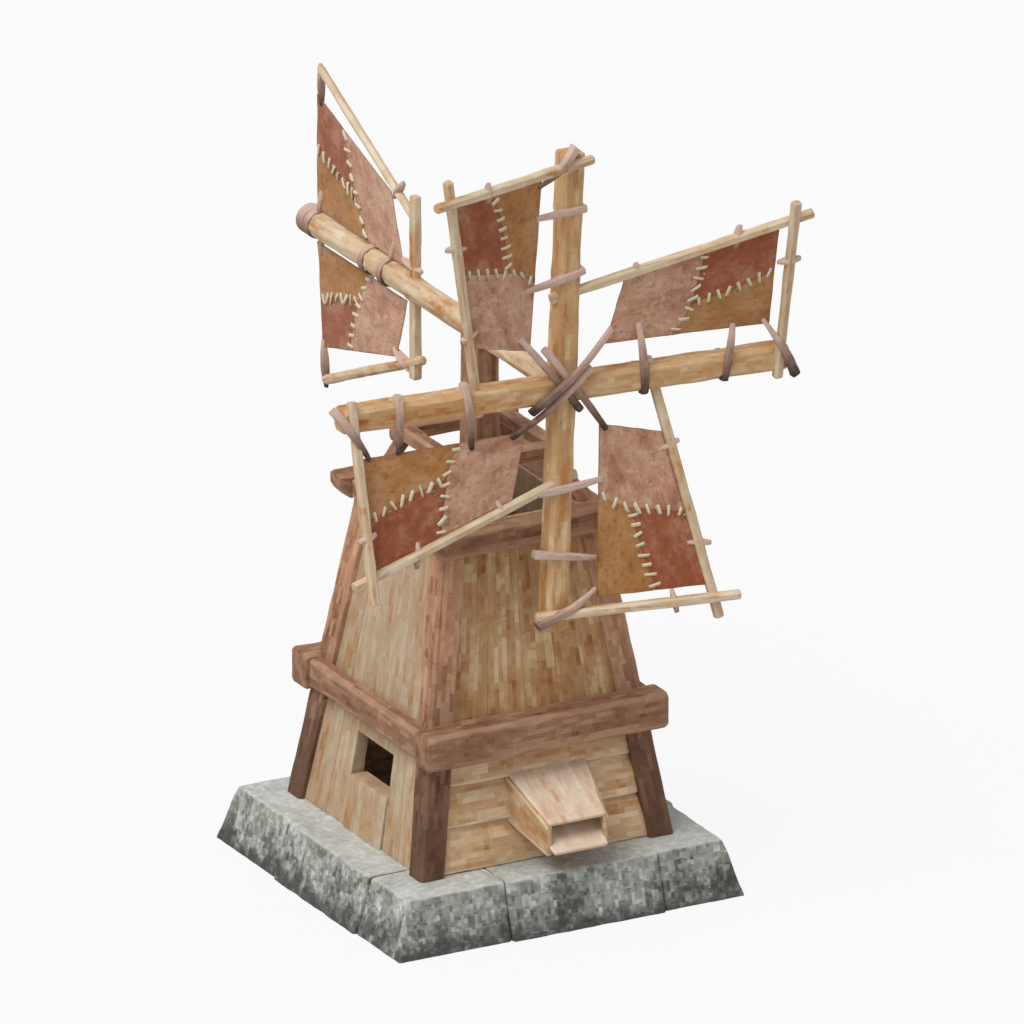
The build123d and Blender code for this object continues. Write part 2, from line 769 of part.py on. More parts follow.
def thongs_of_sail(name):
    """The thongs that hold one sail to its stock and poles."""
    arm = arms[name]
    edge_pole = (edge_pole_inner, edge_pole_outer)
    tip_pole = (tip_pole_near, tip_pole_far)
    with BuildPart() as thongs:
        for reach in arm_thong_places:
            add(arm_thong(name, reach))
        for reach in edge_thong_places:
            add(pole_thong(arm, edge_pole, (hide_root_far, hide_tip_far), reach, 0))
        add(pole_thong(arm, tip_pole, (hide_tip_near, hide_tip_far), tip_pole_thong_place, 1))
        add(tip_thong(name))
        add(upright_stock.part if arm_turns[name] % 180 else level_stock.part, mode=Mode.SUBTRACT)
        add(sail_edge_poles.part, mode=Mode.SUBTRACT)
        add(sail_tip_poles.part, mode=Mode.SUBTRACT)
    return thongs.part


sail_thong_sets = {name: thongs_of_sail(name) for name in arms}
with BuildPart() as sail_thongs:
    for thongs in sail_thong_sets.values():
        add(thongs)

hub_thong_pieces = {name: hub_thong(name) for name in arms}
with BuildPart() as hub_thongs:
    for strap in hub_thong_pieces.values():
        add(strap)
    add(upright_stock.part, mode=Mode.SUBTRACT)
    add(level_stock.part, mode=Mode.SUBTRACT)

hides = {}
for name, arm in arms.items():
    with BuildPart() as hide:
        add(sail_hide(arm))
        add(sail_thong_sets[name], mode=Mode.SUBTRACT)
        add(hub_thong_pieces[name], mode=Mode.SUBTRACT)
    hides[name] = hide

pieces = {
    "plinth_corner_blocks": plinth_corner_blocks,
    "plinth_middle_blocks": plinth_middle_blocks,
    "floor_slab": floor_slab,
    "corner_posts": corner_posts,
    "front_wall_lower": front_wall_lower,
    "front_wall_upper": front_wall_upper,
    "back_wall_lower": back_wall_lower,
    "back_wall_upper": back_wall_upper,
    "left_wall": left_wall,
    "right_wall": right_wall,
    "belt_rail_front": belt_rail_front,
    "belt_rail_back": belt_rail_back,
    "belt_rail_left": belt_rail_left,
    "belt_rail_right": belt_rail_right,
    "top_rail_front": top_rail_front,
    "top_rail_back": top_rail_back,
    "top_rail_left": top_rail_left,
    "top_rail_right": top_rail_right,
    "hatch_sill_board": hatch_sill_board,
    "chute_lid": chute_lid,
    "chute_tray": chute_tray,
    "chute_cheek_left": chute_cheek_left,
    "chute_cheek_right": chute_cheek_right,
    "upper_beams_side": upper_beams_side,
    "upper_beams_cross": upper_beams_cross,
    "frame_struts": frame_struts,
    "main_mast": main_mast,
    "windshaft": windshaft,
    "tail_upright": tail_upright,
    "tail_top_pole": tail_top_pole,
    "tail_bottom_pole": tail_bottom_pole,
    "tail_hide_upper": tail_hide_upper,
    "tail_hide_lower": tail_hide_lower,
    "tail_thongs": tail_thongs,
    "level_stock": level_stock,
    "upright_stock": upright_stock,
    "rotor_axle": rotor_axle,
    "sail_tip_poles": sail_tip_poles,
    "sail_edge_poles": sail_edge_poles,
    "sail_hide_top": hides["top"],
    "sail_hide_right": hides["right"],
    "sail_hide_bottom": hides["bottom"],
    "sail_hide_left": hides["left"],
    "sail_thongs": sail_thongs,
    "hub_thongs": hub_thongs,
}

os.makedirs("parts", exist_ok=True)
for name, piece in pieces.items():
    piece.part.label = name
    export_step(piece.part, f"parts/{name}.step")
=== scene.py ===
"""Looks of a small hand-built windmill: hewn timber, puncheon walls, rough stone and patched hide sails.

Every piece is a closed surface worked out on a grid with numpy. Lengths are metres, +Z is up, the rotor
faces -Y, and each piece takes the place of the plain solid that it is named after.
"""

from __future__ import annotations

import json
import logging
import math
from dataclasses import dataclass, field
from enum import Enum
from itertools import product
from typing import Any, Iterable, Sequence

import bpy
import numpy as np
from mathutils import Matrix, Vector

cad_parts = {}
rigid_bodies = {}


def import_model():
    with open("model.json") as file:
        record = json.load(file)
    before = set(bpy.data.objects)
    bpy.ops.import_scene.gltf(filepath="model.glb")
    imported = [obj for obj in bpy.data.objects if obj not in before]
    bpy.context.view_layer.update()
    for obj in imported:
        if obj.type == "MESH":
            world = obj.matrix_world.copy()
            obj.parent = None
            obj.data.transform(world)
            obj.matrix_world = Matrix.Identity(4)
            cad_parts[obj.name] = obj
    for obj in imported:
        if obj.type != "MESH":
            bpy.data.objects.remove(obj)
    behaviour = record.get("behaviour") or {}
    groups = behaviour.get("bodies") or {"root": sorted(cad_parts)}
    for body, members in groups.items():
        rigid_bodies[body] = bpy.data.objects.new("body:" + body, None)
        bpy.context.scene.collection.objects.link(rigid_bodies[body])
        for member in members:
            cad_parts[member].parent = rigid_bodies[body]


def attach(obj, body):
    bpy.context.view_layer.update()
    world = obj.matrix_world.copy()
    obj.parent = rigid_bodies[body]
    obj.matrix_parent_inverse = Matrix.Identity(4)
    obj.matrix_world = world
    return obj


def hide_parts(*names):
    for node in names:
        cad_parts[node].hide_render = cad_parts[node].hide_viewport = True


Array = np.ndarray
Point = Sequence[float]  # a place, a direction or a row of sizes
Points = Sequence[Point]
Pair = tuple[float, float]
Ends = tuple[Point, Point]
Tone = tuple[int, int, int]  # red, green and blue from 0 to 255

log = logging.getLogger("windmill")

UP = np.array([0.0, 0.0, 1.0])
CORNERS = ((-1, -1), (1, -1), (1, 1), (-1, 1))
APART = 9.0  # metres by which the patterns of two pieces may lie apart
CRISP = 28.0  # angle in degrees past which two faces of wood meet in a sharp edge
SOFT = 60.0  # the same for stone, hides and stitches


# ---- numbers over surfaces
def unit(vectors: Point) -> Array:
    """Vectors scaled to length one, along the last axis."""
    values = np.asarray(vectors, float)
    return values / np.linalg.norm(values, axis=-1, keepdims=True)


def mix(a: Any, b: Any, share: Any) -> Any:
    """The value a share of the way from a to b."""
    return a + (b - a) * share


def lattice(cells: Array, seed: int) -> Array:
    """Random value in 0..1 for each whole-numbered cell.

    Args:
        cells: whole numbers, the last axis holding x, y and z.
        seed: picks another set of values.

    Returns:
        One value for each cell, from mixing the bits of its coordinates.
    """
    mixed = cells @ np.array([374761393, 668265263, 1442695041], np.int64) + seed * 1274126177
    mixed = (mixed ^ (mixed >> 13)) * 1103515245
    return ((mixed ^ (mixed >> 16)) & 0xFFFFFF) / 0xFFFFFF


def chance(cell: Sequence[int], seed: int) -> float:
    """The random value in 0..1 of one cell."""
    return float(lattice(np.array(cell), seed))


def ripple(points: Array, size: float, seed: int, octaves: int = 2) -> Array:
    """Smooth noise between about -1 and 1.

    The value is blended between the corners of a lattice of the given cell size, with the smooth step
    3f^2 - 2f^3, and each further octave has half the cell and half the strength.

    Args:
        points: places, the last axis holding x, y and z.
        size: length of one cell of the first octave.
        seed: picks another pattern.
        octaves: how many layers are added up.

    Returns:
        One value for each place.
    """
    total = np.zeros(points.shape[:-1])
    for layer in range(octaves):
        scaled = points / size * 2**layer + 0.37 * layer
        cell = np.floor(scaled).astype(np.int64)
        blend = scaled - cell
        blend = blend * blend * (3 - 2 * blend)
        for corner in product((0, 1), repeat=3):
            weight = np.where(np.array(corner) == 1, blend, 1 - blend).prod(-1)
            total += weight * (2 * lattice(cell + np.array(corner), seed + layer) - 1) / 2**layer
    return total


# ---- surfaces
@dataclass
class Skin:
    """Closed surfaces with the values that their finishes read.

    Attributes:
        points: the vertices.
        faces: four vertex numbers for each face, counted so that faces point outwards.
        grain: place in the piece's own material, with its length along the third axis.
        marks: three values that the finish reads, such as how worn, how near an end and how light.
    """

    points: Array
    faces: Array
    grain: Array
    marks: Array

    @staticmethod
    def join(skins: Iterable["Skin"]) -> "Skin":
        """Puts surfaces together.

        Args:
            skins: the surfaces.

        Returns:
            One skin that holds all of them.
        """
        parts = list(skins)
        starts = np.cumsum([0] + [len(part.points) for part in parts[:-1]])
        rows = ((one.points, one.faces + first, one.grain, one.marks) for one, first in zip(parts, starts))
        return Skin(*(np.vstack(column) for column in zip(*rows)))


def skin_of_rings(rings: Array, grain: Array, marks: Array, joined: bool = False) -> Skin:
    """Surface through rings of points, closed by a flat face at each end.

    Face (i, j) spans points j and j+1 of rings i and i+1. An end is filled by strips between the
    ring's halves, so a ring has an even number of points.

    Args:
        rings: points of shape (rings, points in a ring, 3), counted anticlockwise about the way ahead.
        grain: pattern places of the same shape.
        marks: finish values of the same shape.
        joined: true where the last ring meets the first, which then needs no ends.

    Returns:
        The closed surface.
    """
    count, around = rings.shape[:2]
    number = np.arange(count * around).reshape(count, around)
    ahead = np.roll(number, -1, axis=0) if joined else number[1:]
    here = number if joined else number[:-1]
    walls = np.stack([here, np.roll(here, -1, 1), np.roll(ahead, -1, 1), ahead], -1).reshape(-1, 4)
    faces = [walls]
    if not joined:
        j = np.arange(around // 2 - 1)
        strip = np.stack([j, j + 1, around - 2 - j, around - 1 - j], -1)
        faces += [number[0][strip][:, ::-1], number[-1][strip]]
    return Skin(rings.reshape(-1, 3), np.vstack(faces), grain.reshape(-1, 3), marks.reshape(-1, 3))


def octagon(width: Array, depth: Array, chamfer: Array, flat: int, slant: int) -> tuple[Array, Array]:
    """Sections of squared timber with their corners taken off.

    Args:
        width: size along x, one value for each section.
        depth: size along y.
        chamfer: how much the corners lose along each side.
        flat: points on each side.
        slant: points on each corner.

    Returns:
        Points of shape (sections, points, 2), anticlockwise, and how near an edge each point is.
    """
    signs = np.array([(1, -1), (1, 1), (1, 1), (-1, 1), (-1, 1), (-1, -1), (-1, -1), (1, -1)], float)
    off = np.array([(0, 1), (0, 1), (1, 0), (1, 0), (0, 1), (0, 1), (1, 0), (1, 0)], float)
    halves = np.stack([width, depth], -1)[:, None] / 2
    corners = signs * (halves - off * chamfer[:, None, None])
    points, edge = [], []
    for k in range(8):
        steps = flat if k % 2 == 0 else slant
        share = np.arange(steps)[:, None] / steps
        points.append(mix(corners[:, k : k + 1], corners[:, (k + 1) % 8, None], share))
        edge.append(np.where(np.arange(steps) == 0, 1.0, k % 2 * 1.0))
    return np.concatenate(points, 1), np.concatenate(edge)


def pattern(section: Array, run: Array) -> Array:
    """Pattern places for rings of points, with the length along the third axis.

    Args:
        section: x and y of every point in its own section.
        run: how far along the piece each ring lies.

    Returns:
        Places of shape (rings, points in a ring, 3).
    """
    shape = (len(run), section.shape[-2])
    along = np.broadcast_to(run[:, None, None], (*shape, 1))
    return np.concatenate([np.broadcast_to(section, (*shape, 2)), along], -1)


def marked(shape: Sequence[int], worn: Any, end: Any, light: Any) -> Array:
    """Finish values for rings of points: how worn, how near an end and how light each point is."""
    return np.stack([np.broadcast_to(value, shape) for value in (worn, end, light)], -1)


def ring_places(length: float, nose: Point, arc: Array, step: float) -> tuple[Array, Array]:
    """Where the rings of a straight piece lie.

    They follow 1 - sqrt(1 - a^2), a quarter circle, over each nose and are evenly spaced between.

    Args:
        length: of the piece.
        nose: length over which each end is rounded.
        arc: the values a over one nose, from the very end on.
        step: distance between the rings.

    Returns:
        Distances from the start, and how near an end each ring is.
    """
    first, last = (min(value, length * 0.3) for value in nose)
    body = np.linspace(first, length - last, max(3, int(length / step)))
    curve = 1 - np.sqrt(1 - arc**2)
    places = np.concatenate([first * curve, body, length - last * curve[::-1]])
    return places, np.concatenate([1 - 0.2 * arc, 0 * body, 1 - 0.2 * arc[::-1]])


@dataclass(frozen=True)
class Hewing:
    """How a squared timber is worked.

    Attributes:
        chamfer: how much each long edge loses.
        rough: how far the surface wanders.
        nose: length over which each end is rounded.
        inset: how much each side of the section has lost at the very end.
        step: distance between rings along the length.
        flat: points on each side of a section.
        slant: points on each corner of a section.
        bow: how far the whole length wanders sideways.
    """

    chamfer: float
    rough: float
    nose: Pair
    inset: Pair
    step: float
    flat: int = 6
    slant: int = 1
    bow: float = 0.0


@dataclass
class Straight:
    """Anything that runs straight from one place to another.

    Attributes:
        start: middle of the first end.
        end: middle of the last end.
    """

    start: Point
    end: Point

    def axis(self) -> tuple[Array, Array, float]:
        """Where it starts and how it runs.

        Returns:
            The start, the direction ahead and the length.
        """
        start = np.asarray(self.start, float)
        span = np.asarray(self.end, float) - start
        length = float(np.linalg.norm(span))
        return start, span / length, length


@dataclass
class Timber(Straight):
    """Hewn post, board, rail or pole.

    Attributes:
        across: direction of the width.
        width: size along across, at start and end.
        depth: size at right angles to it, at start and end.
        hewing: how it is worked.
        seed: picks the pattern.
        tint: how light this one is against its fellows, from 0 to 1.
        up: direction of the depth, or None for at right angles to across and the length.
        belly: how much wider and deeper it is half way.
        lift: how far the middle stands out along the depth.
    """

    across: Point
    width: Pair
    depth: Pair
    hewing: Hewing
    seed: int
    tint: float = 0.5
    up: Point | None = None
    belly: Pair = (0.0, 0.0)
    lift: float = 0.0

    def skin(self) -> Skin:
        """The timber's surface: octagonal sections in a row, roughened by noise along the grain.

        Returns:
            The closed surface, with the grain along its length.
        """
        start, ahead, length = self.axis()
        work, seed = self.hewing, self.seed
        across = unit(self.across)
        if self.up is None:
            across = unit(across - ahead * (across @ ahead))
        up = np.cross(ahead, across) if self.up is None else unit(self.up)
        if np.dot(np.cross(across, up), ahead) < 0:
            across = -across
        arc = np.array([0.0, 0.72])
        places, near_end = ring_places(length, work.nose, arc, work.step)
        lost = 0 * places
        lost[:2], lost[-2:] = work.inset[0] * (1 - arc), work.inset[1] * (1 - arc[::-1])
        share = places / length
        arch = np.sin(math.pi * share)
        width = mix(*self.width, share) + self.belly[0] * arch - 2 * lost
        depth = mix(*self.depth, share) + self.belly[1] * arch - 2 * lost
        wander = np.stack([places, 0 * places, 0 * places], -1)
        chamfer = work.chamfer * (1 + 0.35 * ripple(wander, 0.22, seed + 5))
        chamfer = np.minimum(chamfer, 0.36 * np.minimum(width, depth))
        section, edge = octagon(width, depth, chamfer, work.flat, work.slant)
        grain = pattern(section, places) + chance((seed, 7, 3), 1) * APART
        outward = section / np.maximum(np.linalg.norm(section, axis=-1, keepdims=True), 1e-6)
        bumps = work.rough * ripple(grain * np.array([1.0, 1.0, 0.35]), 0.07, seed, 3)
        chips = np.minimum(0, ripple(grain, 0.09, seed + 9) + 0.3) * work.rough * 1.5 * edge
        section = section + outward * (bumps + chips)[..., None]
        side = work.bow * arch * ripple(wander, length * 0.6, seed + 2)
        line = start + ahead * places[:, None] + across * side[:, None] + up * (self.lift * arch)[:, None]
        rings = line[:, None] + section[..., :1] * across + section[..., 1:] * up
        return skin_of_rings(rings, grain, marked(section.shape[:2], edge, near_end[:, None], self.tint))


@dataclass
class RoundPole(Straight):
    """Peeled round pole or log.

    Attributes:
        radius: at start and end.
        nose: length over which each end is rounded.
        rough: how far the surface wanders.
        flats: depth of the long flats that an axe left.
        around: points in each ring.
        step: distance between rings along the length.
        seed: picks the pattern.
        tint: how light it is, from 0 to 1.
    """

    radius: Pair
    nose: Pair
    rough: float
    flats: float
    around: int = 32
    step: float = 0.035
    seed: int = 0
    tint: float = 0.5

    def skin(self) -> Skin:
        """The pole's closed surface.

        The radius at each angle a and distance s is the tapered radius, less a few shallow flats
        that wander slowly round the pole, plus fine noise.

        Returns:
            The surface, with the grain along its length.
        """
        start, ahead, length = self.axis()
        helper = UP if abs(ahead[2]) < 0.9 else np.array([1.0, 0.0, 0.0])
        across = unit(np.cross(helper, ahead))
        up = np.cross(ahead, across)
        arc = np.sin(np.linspace(0, math.pi / 2, 6))[:-1]
        places, near_end = ring_places(length, self.nose, arc, self.step)
        swell = np.ones(len(places))
        swell[: len(arc)], swell[-len(arc) :] = 0.55 + 0.45 * arc, 0.55 + 0.45 * arc[::-1]
        radius = mix(*self.radius, places / length) * swell
        angle = np.linspace(0, 2 * math.pi, self.around, endpoint=False)
        turned = angle[None] + 0.5 * np.sin(places * 1.7 + self.seed)[:, None]
        facets = 0.5 * np.cos(turned * 7)
        circle = np.stack([np.cos(angle), np.sin(angle)], -1)
        section = radius[:, None, None] * circle
        grain = pattern(section, places) + chance((self.seed, 2, 5), 3) * APART
        planed = self.flats * (0.5 - facets) * (radius[:, None] > 0.02)
        bumps = self.rough * ripple(grain * np.array([1.0, 1.0, 0.3]), 0.08, self.seed, 3)
        section = section + circle * (bumps - planed)[..., None]
        line = start + ahead * places[:, None]
        rings = line[:, None] + section[..., :1] * across + section[..., 1:] * up
        marks = marked(section.shape[:2], 0.6 * (0.5 + facets), near_end[:, None], self.tint)
        return skin_of_rings(rings, grain, marks)


def mirrored(half: Points) -> list[Point]:
    """Points on one side of an axis, then the same ones on the other side, from the last back."""
    return [*half, *((-x, y) for x, y in reversed(half))]


# Half widths and thicknesses: over the rounded outside of a strap, then back along its inside.
STRAP_SECTION = np.array(
    mirrored(((1, 0.0), (0.99, 0.55), (0.72, 0.94), (0.25, 1.0))) + mirrored(((-0.7, -0.1), (-0.25, -0.12)))
)
THONG_HEWING = Hewing(0.011, 0.0022, (0.007, 0.009), (0.005, 0.006), 0.012, 3)


@dataclass
class Strap:
    """Strip of rawhide along a line, flat inside and rounded outside.

    Attributes:
        line: points that its inner side follows.
        outward: direction away from what it lies on, at each point.
        width: at each point.
        thickness: at each point.
        joined: true where the last point meets the first.
        seed: picks the pattern.
    """

    line: Array
    outward: Array
    width: Array
    thickness: Array
    joined: bool
    seed: int

    @staticmethod
    def ring(centre: Point, radius: float, width: float, thickness: float, seed: int) -> "Strap":
        """A strap right round a log that lies along y.

        Args:
            centre: on the log's axis.
            radius: of the log.
            width: of the strap.
            thickness: of the strap.
            seed: picks its pattern.

        Returns:
            The strap.
        """
        angle = np.linspace(0, 2 * math.pi, 48, endpoint=False)
        outward = np.stack([np.cos(angle), 0 * angle, np.sin(angle)], -1)
        line, full = np.asarray(centre) + outward * radius, np.ones(48)
        return Strap(line, outward, full * width, full * thickness, True, seed)

    def skin(self) -> Skin:
        """The strap's closed surface, with a flat back and bevelled edges.

        Returns:
            A surface marked for painted light, from 0 where it faces down to 1 where it faces up.
        """
        if self.joined:
            ahead = unit(np.roll(self.line, -1, 0) - np.roll(self.line, 1, 0))
        else:
            ahead = unit(np.gradient(self.line, axis=0))
        side = unit(np.cross(self.outward, ahead))
        normal = np.cross(ahead, side)
        run = np.concatenate([[0.0], np.cumsum(np.linalg.norm(np.diff(self.line, axis=0), axis=1))])
        section = STRAP_SECTION * np.stack([self.width / 2, self.thickness], -1)[:, None]
        grain = pattern(section, run) + chance((self.seed, 11, 5), 2) * APART
        section = section * (1 + 0.06 * ripple(grain, 0.05, self.seed))[..., None]
        rings = self.line[:, None] + section[..., :1] * side[:, None] + section[..., 1:] * normal[:, None]
        share = np.linspace(0, 1, len(run))[:, None]
        near_end = 0 * share if self.joined else np.clip(np.abs(share - 0.5) * 2 - 0.75, 0, 1) * 4
        # painted light: faces that look up are marked lighter, faces that look down darker
        light = 0.45 + 0.45 * normal[:, None, 2]
        marks = marked(section.shape[:2], np.abs(STRAP_SECTION[:, 0]) ** 3, near_end, light)
        return skin_of_rings(rings, grain, marks, self.joined)


@dataclass
class Lashing(Straight):
    """Stiff thong laid straight over a timber, or bound round a pole, with blunt ends.

    Attributes:
        across: direction of its width.
        width: at start and end.
        depth: at start and end.
        belly: how much wider and deeper it is half way.
        lift: how far its middle stands out.
        seed: picks the pattern.
    """

    across: Point
    width: Pair
    depth: Pair
    belly: Pair
    lift: float
    seed: int

    def skin(self) -> Skin:
        """The thong's closed surface, with painted light marked 1 at its top and less the lower it is.

        Returns:
            A faceted bar.
        """
        bar = Timber(self.start, self.end, self.across, self.width, self.depth, THONG_HEWING, self.seed)
        bar.belly, bar.lift = self.belly, self.lift
        skin = bar.skin()
        height = skin.points[:, 2]
        # painted light: the higher parts of the thong are marked lighter, the lower parts darker
        skin.marks[:, 2] = 1 - (height.max() - height) / max(float(np.ptp(height)), 0.36)
        return skin


def over_corners(
    low: Pair, high: Pair, size: float, hewing: Hewing, seed: int, tints: Pair
) -> list[Skin]:
    """Four leaning timbers over the corners of a square, cut level at both ends.

    Args:
        low: how far the foot's middle lies from the square's middle along x and y, and its height.
        high: the same for the head.
        size: of a timber.
        hewing: how they are worked.
        seed: picks the first one's pattern.
        tints: how light the first one is, and what each further one adds.

    Returns:
        One surface for each timber.
    """
    square = (size, size)
    return [
        Timber(
            *((sx * reach, sy * reach, z) for reach, z in (low, high)),
            *((1, 0, 0), square, square, hewing, seed + k, tints[0] + tints[1] * k, (0, 1, 0)),
        ).skin()
        for k, (sx, sy) in enumerate(CORNERS)
    ]


# ---- shading
class Shade:
    """A node's output that takes part in arithmetic. Each step of it adds one node."""

    def __init__(self, graph: "Graph", socket: bpy.types.NodeSocket) -> None:
        """Keeps the output.

        Args:
            graph: that it belongs to.
            socket: the output.
        """
        self.graph = graph
        self.socket = socket

    def step(self, operation: str, first: Any, second: Any = 0.0) -> "Shade":
        """One Math node on two values."""
        return self.graph.add("Math", {"operation": operation}, {0: first, 1: second})

    def __add__(self, other: Any) -> "Shade":
        """Sum."""
        return self.step("ADD", self, other)

    __radd__ = __add__

    def __sub__(self, other: Any) -> "Shade":
        """Difference."""
        return self.step("SUBTRACT", self, other)

    def __rsub__(self, other: Any) -> "Shade":
        """Difference, the other way round."""
        return self.step("SUBTRACT", other, self)

    def __mul__(self, other: Any) -> "Shade":
        """Product."""
        return self.step("MULTIPLY", self, other)

    __rmul__ = __mul__

    def or_else(self, other: "Shade") -> "Shade":
        """The larger of two values."""
        return self.step("MAXIMUM", self, other)

    def clamped(self) -> "Shade":
        """The value held between 0 and 1."""
        return self.graph.add("Clamp", {}, {0: self})

    def other(self, output: Any) -> "Shade":
        """Another output of the same node."""
        return Shade(self.graph, self.socket.node.outputs[output])

    def size(self) -> "Shade":
        """The value without its sign."""
        return self.step("ABSOLUTE", self)

    def rise(self, low: float, high: float) -> "Shade":
        """Smooth step, which falls where low is above high.

        Args:
            low: value at which it is 0.
            high: value at which it is 1.

        Returns:
            The step.
        """
        settings = {"interpolation_type": "SMOOTHSTEP"}
        if low < high:
            return self.graph.add("MapRange", settings, {0: self, 1: low, 2: high})
        return self.graph.add("MapRange", settings, {0: self, 1: high, 2: low, 3: 1.0, 4: 0.0})


def linear(tone: Tone) -> Point:
    """A colour as a shader takes it.

    Args:
        tone: red, green and blue as on a colour chart, from 0 to 255.

    Returns:
        Light of each primary from 0 to 1, and full cover.
    """
    share = np.array(tone) / 255
    value = np.where(share <= 0.04045, share / 12.92, ((share + 0.055) / 1.055) ** 2.4)
    return (*(float(v) for v in value), 1.0)


class Graph:
    """The nodes of one material, or of the sky."""

    def __init__(self, owner: bpy.types.Material | bpy.types.World) -> None:
        """Clears the nodes of their owner.

        Args:
            owner: the material or the sky.
        """
        owner.use_nodes = True
        self.owner = owner
        self.tree = owner.node_tree
        self.tree.nodes.clear()

    def add(self, kind: str, settings: dict[str, Any], inputs: dict[Any, Any], output: Any = 0) -> Shade:
        """Adds one node.

        Args:
            kind: the node's type, without ShaderNode in front.
            settings: its own properties, which are set first.
            inputs: values or links, by the socket's name or number.
            output: name or number of the output that is wanted.

        Returns:
            That output.
        """
        node = self.tree.nodes.new(f"ShaderNode{kind}")
        for key, value in settings.items():
            setattr(node, key, value)
        for key, value in inputs.items():
            if isinstance(value, Shade):
                self.tree.links.new(value.socket, node.inputs[key])
            else:
                node.inputs[key].default_value = value
        return Shade(self, node.outputs[output])

    def attribute(self, name: str) -> Shade:
        """A vector kept on the piece's vertices."""
        return self.add("Attribute", {"attribute_name": name}, {}, "Vector")

    def parts(self, vector: Shade) -> tuple[Shade, Shade, Shade]:
        """The three numbers of a vector."""
        first = self.add("SeparateXYZ", {}, {0: vector})
        return first, first.other(1), first.other(2)

    def noise(self, place: Shade, scale: Point, detail: float = 3.0, roughness: float = 0.55) -> Shade:
        """Noise on a place that is first stretched along each axis.

        Args:
            place: the place, in metres.
            scale: cells to a metre along x, y and z.
            detail: how many finer layers are added.
            roughness: how strong each finer layer is.

        Returns:
            The noise, from 0 to 1.
        """
        settings = {"Scale": 1.0, "Detail": detail, "Roughness": roughness}
        stretched = self.vector("MULTIPLY", place, tuple(scale))
        return self.add("TexNoise", {}, {"Vector": stretched, **settings})

    def object_place(self) -> Shade:
        """The place on the piece, in metres."""
        return self.add("TexCoord", {}, {}, "Object")

    def dabs(self, place: Shade, across: float, along: float) -> Shade:
        """Random value from 0 to 1 for each oblong dab.

        Space is cut into square columns along the third axis, and each column, shifted by its own
        random length, is cut across.

        Args:
            place: the place, in metres.
            across: columns to a metre.
            along: cuts to a metre.

        Returns:
            The value, the same all over a dab.
        """
        columns = self.vector("FLOOR", self.vector("MULTIPLY", place, (across, across, 0.0)))
        offset = self.vector("MULTIPLY", self.scatter(columns), (0.0, 0.0, 9.7))
        stretched = self.vector("MULTIPLY", place, (across, across, along))
        return self.scatter(self.vector("FLOOR", self.vector("ADD", stretched, offset)))

    def vector(self, operation: str, first: Any, second: Any = (0.0, 0.0, 0.0)) -> Shade:
        """One Vector Math node on two vectors."""
        return self.add("VectorMath", {"operation": operation}, {0: first, 1: second})

    def scatter(self, place: Shade) -> Shade:
        """Random value from 0 to 1 for each whole-numbered place."""
        return self.add("TexWhiteNoise", {"noise_dimensions": "3D"}, {"Vector": place}, "Value")

    def blend(self, share: Any, first: Any, second: Any) -> Shade:
        """Two colours mixed, by a share from 0 to 1."""
        a, b = (linear(c) if isinstance(c, tuple) else c for c in (first, second))
        return self.add("Mix", {"data_type": "RGBA"}, {0: share, 6: a, 7: b}, 2)

    def finish(
        self, colour: Shade, roughness: Shade, height: Shade, depth: float, sheen: float = 0.0
    ) -> bpy.types.Material:
        """Closes the material.

        Args:
            colour: over the surface.
            roughness: over the surface.
            height: from 0 to 1, for the bump.
            depth: of the bump, in metres.
            sheen: strength of the soft fuzz.

        Returns:
            The finished material.
        """
        bump = self.add("Bump", {}, {"Strength": 0.9, "Distance": depth, "Height": height})
        linked = {"Base Color": colour, "Roughness": roughness, "Normal": bump}
        even = {"Sheen Weight": sheen, "Specular IOR Level": 0.3}
        self.add_output(self.add("BsdfPrincipled", {}, {**linked, **even}))
        return self.owner

    def add_output(self, shader: Shade) -> None:
        """Ends the nodes in the given shader."""
        node = self.tree.nodes.new(f"ShaderNodeOutput{self.owner.bl_rna.identifier}")
        self.tree.links.new(shader.socket, node.inputs["Surface"])


